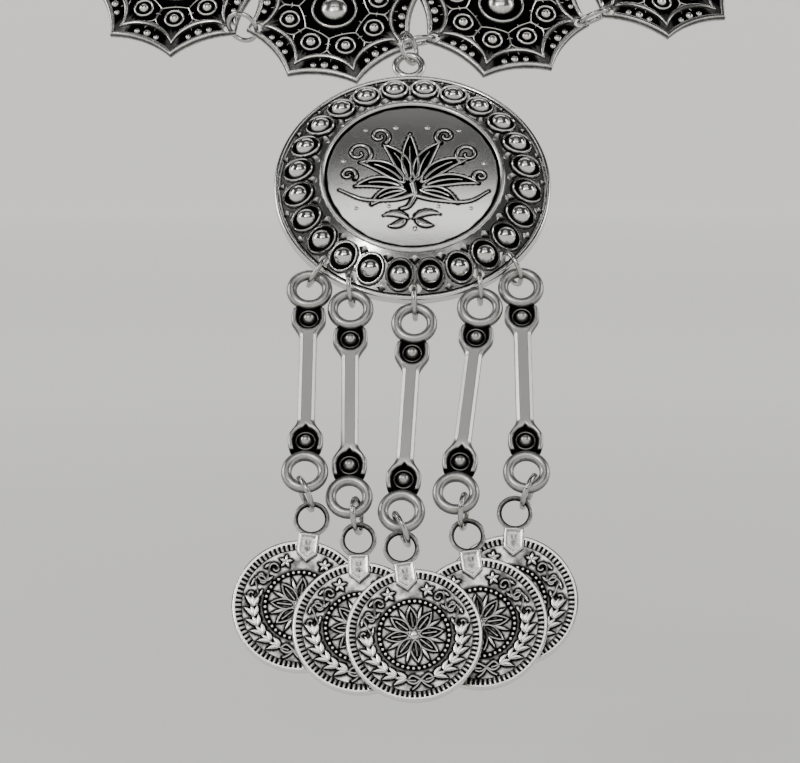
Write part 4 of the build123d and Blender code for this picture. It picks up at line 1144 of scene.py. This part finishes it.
def scroll_lines():
    """Two scrolls with small leaves and a five-leaved star on each side of the coin's upper half."""
    lines = []
    for sign in (-1, 1):
        for angle, size in ((163, 2.6), (139, 2.3)):
            turn = angle if sign > 0 else 180 - angle
            lines.append((scroll(*on_circle(SCROLL_CIRCLE, turn), size, turn + 90, sign), 0.4))
            for shift in (-1, 1):
                leaf = leaf_path(*on_circle(SCROLL_CIRCLE + shift, turn), 1.3, turn - 90 * sign * shift)
                lines.append((leaf, leaf_width(0.5)))
        star = on_circle(STAR_CIRCLE, 90 - 24 * sign)
        for number in range(STAR_POINTS):
            lines.append((leaf_path(*star, 1.15, 90 + 360 / STAR_POINTS * number), leaf_width(0.66)))
    return lines


def struck(lines, level):
    """Lines raised on a coin's face."""
    return [ridge(path, width, COIN_RELIEF, level, around=5, root=1.0) for path, width in lines]


def coin_shells(seed):
    """A coin: flat rim, teeth, ring of beads, rosette, laurel and stars on a worn field, with loop and tab.

    The seed sets where the field's slow waves of wear and of blackening lie, so that no two coins are alike.
    """
    rng = np.random.default_rng(seed)
    cols = TOOTH_COUNT * 4
    turn = np.arange(cols) * 2 * pi / cols
    rim_in = COIN_RADIUS - COIN_RIM_WIDTH
    tooth_in = rim_in - TOOTH_LENGTH
    steps = [tooth_in, tooth_in + 0.12, rim_in - 0.1, rim_in - 0.03, rim_in + 0.04,
             (rim_in + COIN_RADIUS) / 2, COIN_RADIUS - 0.16, COIN_RADIUS - 0.05, COIN_RADIUS]
    radii = np.concatenate([np.linspace(0.35, tooth_in - 0.15, 30), steps])
    x, y = radii[:, None] * np.cos(turn), radii[:, None] * np.sin(turn)
    phase = (np.arange(cols) % 4)[None, :]
    tooth = np.where((phase == 1) | (phase == 2), 1.0, 0.0)
    field = COIN_FIELD / 2
    waves = rng.uniform(0, 2 * pi, 8)
    back_lines = rosette_lines() + laurel_lines()
    lines = back_lines + scroll_lines()

    def face(gx, gy):
        """Field with slow hollows of wear, teeth before the rim, and a rim with a rounded edge."""
        r = np.hypot(gx, gy)
        hollows = (np.sin(1.1 * gx + waves[0]) * np.sin(0.9 * gy + waves[1])
                   + np.sin(2.3 * gx + waves[2]) * np.sin(2.1 * gy + waves[3]))
        teeth = (tooth * (r > tooth_in + 0.05) * (r < rim_in - 0.02)) * COIN_RIM_HEIGHT
        rim = COIN_RIM_HEIGHT - 0.1 * step(r, COIN_RADIUS - 0.16, COIN_RADIUS)
        return field + np.where(r >= rim_in, rim, np.where(r > tooth_in, teeth, 0.02 * hollows))

    def tarnish(gx, gy):
        """Black between the teeth and close round every line, patchy grey on the field, bright on the rim."""
        r = np.hypot(gx, gy)
        patch = (np.sin(0.8 * gx + waves[4]) * np.sin(0.7 * gy + waves[5])
                 + np.sin(1.9 * gx + waves[6]) * np.sin(1.7 * gy + waves[7]))
        shade = 0.3 + 0.16 * patch
        beads = np.abs(r - BEAD_CIRCLE) - BEAD_RADIUS
        reach = np.minimum(distance_to_lines(gx, gy, lines, 40), beads)
        shade = np.maximum(shade, 1.0 - 0.85 * step(reach, 0.05, 0.55))
        value = np.where(r < tooth_in + 0.05, shade, np.where(tooth > 0, 0.08, 1.0))
        value = np.where(r >= rim_in - 0.02, 0.02, value)
        return np.where(np.abs(r - tooth_in) < 0.08, 0.85, value)

    def back(gx, gy):
        """The other face, as far below the middle as the front is above it."""
        return -face(gx, gy)

    low = [0, 10, 20, 29] + list(range(30, len(radii)))
    back_tone = np.where(radii > rim_in, 0.05, 0.62)[:, None]
    shells = [slab(x, y, face, back, tarnish, back_tone, low)]
    for number in range(BEAD_COUNT):
        spot = on_circle(BEAD_CIRCLE, 360 * number / BEAD_COUNT)
        shells.append(dome(*spot, BEAD_RADIUS, BEAD_HEIGHT, field, around=8, rows=3, root=1.0))
    heart = dome(0, 0, 0.95, 0.42, field, around=18, rows=5)
    behind = joined(struck(back_lines, field) + [heart])
    shells += struck(lines, field) + [heart, behind.carried(Frame([0, 0, 0], -X_AXIS, -Z_AXIS))]
    inner_side = 0.5 - 0.5 * np.cos(np.linspace(0, 2 * pi, 14, endpoint=False))
    loop_radius = (LOOP_OUTER - LOOP_WIRE) / 2
    loop = wire_ring(loop_radius, LOOP_WIRE, along=48, around=14, oxide_and_shade=0.1 + 0.85 * inner_side)
    shells.append(loop.carried(Frame([0, LOOP_REACH, LOOP_LEVEL], X_AXIS, Z_AXIS)))
    shells.append(tab_shell())
    return joined(shells)


def tab_shell():
    """The coin's tab: a five-sided plate that points down, with a bright raised edge round a sunk face."""
    half = TAB_WIDTH / 2
    corners = np.array([(-half, TAB_TOP), (-half, TAB_SHOULDER), (0, TAB_POINT),
                        (half, TAB_SHOULDER), (half, TAB_TOP)])
    share = np.linspace(0, 1, 8, endpoint=False)[:, None]
    sides = zip(corners, np.roll(corners, -1, axis=0))
    outline = np.concatenate([start + (end - start) * share for start, end in sides])
    edge = np.roll(outline, -1, axis=0) - outline
    edge /= np.linalg.norm(edge, axis=1, keepdims=True)
    into = np.stack([-edge[:, 1], edge[:, 0]], axis=-1)
    mitre = into + np.roll(into, 1, axis=0)
    mitre /= (mitre * into).sum(axis=1, keepdims=True)
    low, high = LOOP_LEVEL - TAB_DEPTH / 2, LOOP_LEVEL + TAB_DEPTH / 2
    steps = [dict(inset=0.12, z=low, oxide_and_shade=0.4), dict(inset=0.0, z=low + 0.12, oxide_and_shade=0.5),
             dict(inset=0.0, z=high - 0.25, oxide_and_shade=0.4), dict(inset=0.08, z=high - 0.1, oxide_and_shade=0.15),
             dict(inset=0.22, z=high - 0.01, oxide_and_shade=0.0), dict(inset=0.4, z=high, oxide_and_shade=0.03),
             dict(inset=0.55, z=high - 0.04, oxide_and_shade=0.25), dict(inset=0.7, z=high - 0.07, oxide_and_shade=0.3),
             dict(inset=0.95, z=high - 0.07, oxide_and_shade=0.25), dict(inset=1.3, z=high - 0.08, oxide_and_shade=0.35)]
    rings = [np.column_stack([outline + mitre * row["inset"], np.full(len(outline), row["z"])])
             for row in steps]
    return lofted(rings, np.array([[row["oxide_and_shade"]] for row in steps]))


# Finishes

def linear(code):
    """An sRGB hex colour as linear red, green, blue and alpha."""
    value = np.array([int(code[k:k + 2], 16) / 255 for k in (1, 3, 5)])
    value = np.where(value <= 0.04045, value / 12.92, ((value + 0.055) / 1.055) ** 2.4)
    return (*value.tolist(), 1.0)


def add_node(tree, kind, settings=None, inputs=None, links=None):
    """Adds a node, sets its properties and input values, and links its inputs from other nodes' outputs."""
    node = tree.nodes.new(kind)
    for key, value in (settings or {}).items():
        setattr(node, key, value)
    for key, value in (inputs or {}).items():
        node.inputs[key].default_value = value
    for key, (source, output) in (links or {}).items():
        tree.links.new(source.outputs[output], node.inputs[key])
    return node


def antique_silver(name, silver, black, gloss, dull, speckle, pitting):
    """Silver plate over cast zinc, dipped black and then tumbled.

    The eye gets bright crests that mirror the lights, black hollows, and between them a grey haze of fine
    specks about 0.25 mm across, where the blackening was rubbed away unevenly.
    """
    material = bpy.data.materials.new(name)
    material.use_nodes = True
    tree = material.node_tree
    shader = tree.nodes["Principled BSDF"]
    shader.inputs["Metallic"].default_value = 1.0
    place = add_node(tree, "ShaderNodeTexCoord")
    oxide_and_shade = add_node(tree, "ShaderNodeAttribute", {"attribute_name": "oxide_and_shade"})
    specks = add_node(tree, "ShaderNodeTexNoise",
                      inputs={"Scale": 1 / (0.5 * MM), "Detail": 3.0, "Roughness": 0.6},
                      links={"Vector": (place, "Object")})
    patches = add_node(tree, "ShaderNodeTexNoise", inputs={"Scale": 1 / (4.0 * MM), "Detail": 2.0},
                       links={"Vector": (place, "Object")})
    spread = add_node(tree, "ShaderNodeMath", {"operation": "MULTIPLY_ADD"}, {1: speckle, 2: -0.5 * speckle},
                      {0: (specks, "Fac")})
    wide = add_node(tree, "ShaderNodeMath", {"operation": "MULTIPLY_ADD"}, {1: 0.3, 2: -0.15},
                    {0: (patches, "Fac")})
    both = add_node(tree, "ShaderNodeMath", {"operation": "ADD"}, links={0: (spread, 0), 1: (wide, 0)})
    total = add_node(tree, "ShaderNodeMath", {"operation": "ADD", "use_clamp": True},
                     links={0: (oxide_and_shade, "Fac"), 1: (both, 0)})
    ramp = add_node(tree, "ShaderNodeValToRGB", links={"Fac": (total, 0)})
    ramp.color_ramp.elements[0].position = 0.12
    ramp.color_ramp.elements[0].color = linear(silver)
    ramp.color_ramp.elements[1].position = 0.86
    ramp.color_ramp.elements[1].color = linear(black)
    middle = ramp.color_ramp.elements.new(0.5)
    middle.color = linear("#6f6e6c")
    tree.links.new(ramp.outputs["Color"], shader.inputs["Base Color"])
    rough = add_node(tree, "ShaderNodeMapRange", inputs={"To Min": gloss, "To Max": dull},
                     links={"Value": (total, 0)})
    tree.links.new(rough.outputs["Result"], shader.inputs["Roughness"])
    grain = add_node(tree, "ShaderNodeTexNoise", inputs={"Scale": 1 / (0.9 * MM), "Detail": 4.0},
                     links={"Vector": (place, "Object")})
    bump = add_node(tree, "ShaderNodeBump", inputs={"Strength": pitting, "Distance": 0.06 * MM},
                    links={"Height": (grain, "Fac")})
    tree.links.new(bump.outputs["Normal"], shader.inputs["Normal"])
    return material


def matt_paper(name, code, glow):
    """Plain pale matt paper of a studio floor.

    It glows a little, in place of the lamps that a real studio has all round: by a third of the full glow at
    the middle, where the lights fall, and fully from 1.2 m on.
    """
    material = bpy.data.materials.new(name)
    material.use_nodes = True
    tree = material.node_tree
    shader = tree.nodes["Principled BSDF"]
    shader.inputs["Base Color"].default_value = linear(code)
    shader.inputs["Emission Color"].default_value = linear(code)
    shader.inputs["Roughness"].default_value = 0.9
    place = add_node(tree, "ShaderNodeTexCoord")
    reach = add_node(tree, "ShaderNodeVectorMath", {"operation": "LENGTH"}, links={0: (place, "Object")})
    fade = add_node(tree, "ShaderNodeMapRange", {"interpolation_type": "SMOOTHSTEP"},
                    {"From Max": 1.2, "To Min": glow / 3, "To Max": glow}, {"Value": (reach, "Value")})
    tree.links.new(fade.outputs["Result"], shader.inputs["Emission Strength"])
    return material


def add_mesh(name, shell, material, smooth_below=42.0):
    """A mesh object from a shell in millimetres, placed at the origin."""
    mesh = bpy.data.meshes.new(name)
    faces = shell.faces
    triangle = faces[:, 3] == faces[:, 2]
    turned_triangle = faces[:, 0] == faces[:, 1]
    corners = np.where(triangle | turned_triangle, 3, 4)
    ordered = np.where(turned_triangle[:, None], faces[:, [1, 2, 3, 3]], faces)
    loops = ordered[np.arange(4)[None, :] < corners[:, None]]
    mesh.vertices.add(len(shell.points))
    mesh.vertices.foreach_set("co", (shell.points * MM).astype(np.float32).ravel())
    mesh.loops.add(len(loops))
    mesh.loops.foreach_set("vertex_index", loops.astype(np.int32))
    mesh.polygons.add(len(faces))
    mesh.polygons.foreach_set("loop_start", np.concatenate([[0], np.cumsum(corners)[:-1]]).astype(np.int32))
    mesh.polygons.foreach_set("use_smooth", np.ones(len(faces), bool))
    mesh.update(calc_edges=True)
    mesh.validate()
    mesh.attributes.new("oxide_and_shade", "FLOAT", "POINT").data.foreach_set("value", shell.oxide_and_shade.astype(np.float32))
    mesh.set_sharp_from_angle(angle=radians(smooth_below))
    mesh.materials.append(material)
    piece = bpy.data.objects.new(name, mesh)
    bpy.context.scene.collection.objects.link(piece)
    return piece


def add_piece(node, shell, material):
    """A piece that stands for a CAD node and moves with it."""
    piece = add_mesh("look_" + node, shell, material)
    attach(piece, "root")
    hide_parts(node)


def add_light(name, place, size, power):
    """A soft rectangular light at a place, turned towards the lights' common target."""
    light = bpy.data.lights.new(name, "AREA")
    light.shape = "RECTANGLE"
    light.size, light.size_y = size
    light.energy = power
    lamp = bpy.data.objects.new(name, light)
    back = unit(np.subtract(place, LIGHT_TARGET))
    side = unit(np.cross([0, 0, 1.0], back))
    lift = np.cross(back, side)
    lamp.matrix_world = Matrix(np.vstack([np.column_stack([side, lift, back, place]), [0, 0, 0, 1]]))
    bpy.context.scene.collection.objects.link(lamp)


def add_floor(low):
    """A pale round floor: flat, then a quarter turn up, then a low wall, carried round the middle."""
    bend = np.linspace(0, pi / 2, 16)
    reach = np.concatenate([[0.1, 0.5, 1.5], FLOOR_RADIUS + FLOOR_TURN * np.sin(bend),
                            [FLOOR_RADIUS + FLOOR_TURN]])
    rise = np.concatenate([np.zeros(3), FLOOR_TURN * (1 - np.cos(bend)), [FLOOR_WALL]])
    around = 96
    turn = np.linspace(0, 2 * pi, around, endpoint=False)
    level = low + rise[:, None] + 0 * turn
    rings = np.stack([reach[:, None] * np.cos(turn), reach[:, None] * np.sin(turn), level], axis=-1)
    points = np.concatenate([rings.reshape(-1, 3), [[0, 0, low]]])
    rows = np.arange(len(reach) - 1)[:, None] * around
    near = np.arange(around)
    beside = (near + 1) % around
    quads = np.stack([rows + near, rows + around + near, rows + around + beside, rows + beside], axis=-1)
    hub = np.full(around, len(points) - 1)
    faces = np.concatenate([quads.reshape(-1, 4), np.stack([near, beside, hub, hub], axis=-1)])
    paper = matt_paper("pale studio paper", "#dcdbd8", 0.9)
    add_mesh("floor", Shell(points / MM, faces, 0.0), paper, 60)


def add_rings(wire, pendant, uppers, lowers, clasp_ring):
    """Every jump ring: on the plates, the pendant and the drops, and at the clasp."""
    rings = {f"joint_ring_{number}": joint_ring_frame(number) for number in range(1, PLATE_COUNT)}
    rings.update(end_ring_left=end_ring_frame(-1)[0], end_ring_right=end_ring_frame(1)[0],
                 pendant_ring=pendant, clasp_ring=clasp_ring)
    rings.update({f"drop_ring_top_{k}": spot for k, spot in enumerate(uppers, start=1)})
    rings.update({f"drop_ring_low_{k}": spot for k, spot in enumerate(lowers, start=1)})
    ring = wire_ring(JUMP_RADIUS, RING_WIRE, RING_SLIT)
    for node, spot in rings.items():
        add_piece(node, ring.carried(spot), wire)


def add_back(wire, left, right, clasp, eye_at, half):
    """The two chains, each up to the clasp, and the clasp with its eye."""
    link = oval_wire(LINK_INNER_LENGTH - LINK_INNER_WIDTH, (LINK_INNER_WIDTH + LINK_WIRE) / 2, LINK_WIRE)
    for node, run, flat in (("chain_left", left, True), ("chain_right", right, False)):
        spots = chain_frames(run, run.length - half, flat)
        add_piece(node, joined([link.carried(spot) for spot in spots]), wire)
    body = oval_wire(CLASP_LENGTH - CLASP_WIDTH, CLASP_WIDTH / 2, CLASP_WIRE, along=48, around=14)
    eye = wire_ring(EYE_RADIUS, EYE_WIRE, along=36, around=12)
    eye = eye.carried(Frame([eye_at, 0, 0], X_AXIS, Z_AXIS))
    add_piece("clasp", joined([body, eye]).carried(clasp), wire)


def add_necklace():
    """All the pieces, in their finishes."""
    cast = antique_silver("antique silver casting", "#dcdad6", "#080809",
                          gloss=0.22, dull=0.5, speckle=0.5, pitting=0.3)
    polished = antique_silver("polished silver plate", "#d3d2cf", "#080809",
                              gloss=0.15, dull=0.45, speckle=0.25, pitting=0.05)
    # The satin bar and the wire get a darker silver than the castings: painted shade, not a different metal.
    satin = antique_silver("satin silver bar with painted shade", "#b4b3b0", "#080809",
                           gloss=0.3, dull=0.5, speckle=0.35, pitting=0.35)
    wire = antique_silver("silver-plated wire with painted shade", "#b0afac", "#151516",
                          gloss=0.22, dull=0.45, speckle=0.3, pitting=0.1)
    star_plate = plate_shells()
    for number in range(1, PLATE_COUNT + 1):
        add_piece(f"plate_{number}", star_plate.carried(plate_frame(number)), cast)
    pendant, medal = pendant_frames()
    uppers, bars, lowers, coins = drop_frames(medal)
    left, right = BackRun(-1), BackRun(1)
    clasp_ring, clasp, eye_at, half = clasp_frames(left, right)
    add_rings(wire, pendant, uppers, lowers, clasp_ring)
    add_piece("medallion", medallion_shells().carried(medal), polished)
    bar = bar_shells()
    for number, (link, hung) in enumerate(zip(bars, coins), start=1):
        add_piece(f"drop_bar_{number}", bar.carried(link), satin)
        add_piece(f"coin_{number}", coin_shells(number).carried(hung), cast)
    add_back(wire, left, right, clasp, eye_at, half)


def add_studio(cad_box):
    """The floor, the lights and a dim even world."""
    add_floor(cad_box[0][2] - FLOOR_DROP)
    for light in LIGHTS:
        add_light(**light)
    world = bpy.data.worlds.new("studio")
    bpy.context.scene.world = world
    world.use_nodes = True
    world.node_tree.nodes["Background"].inputs["Color"].default_value = linear("#c9cacc")
    world.node_tree.nodes["Background"].inputs["Strength"].default_value = 0.09


def add_camera():
    """The camera at the photograph's angle: in front of the necklace and tilted a little down."""
    camera = bpy.data.cameras.new("camera")
    camera.sensor_width = SENSOR_WIDTH
    camera.lens = SENSOR_WIDTH * FOCAL_PIXELS / IMAGE_WIDTH
    camera.clip_end = 20
    seat = bpy.data.objects.new("camera", camera)
    seat.location = np.array(CAMERA_PLACE) * MM
    seat.rotation_euler = (radians(CAMERA_TILT), 0, 0)
    bpy.context.scene.collection.objects.link(seat)
    bpy.context.scene.camera = seat


def main():
    """Builds the looks, the studio and the camera."""
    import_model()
    cad_box = [list(corner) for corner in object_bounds()]
    add_necklace()
    add_studio(cad_box)
    add_camera()


main()
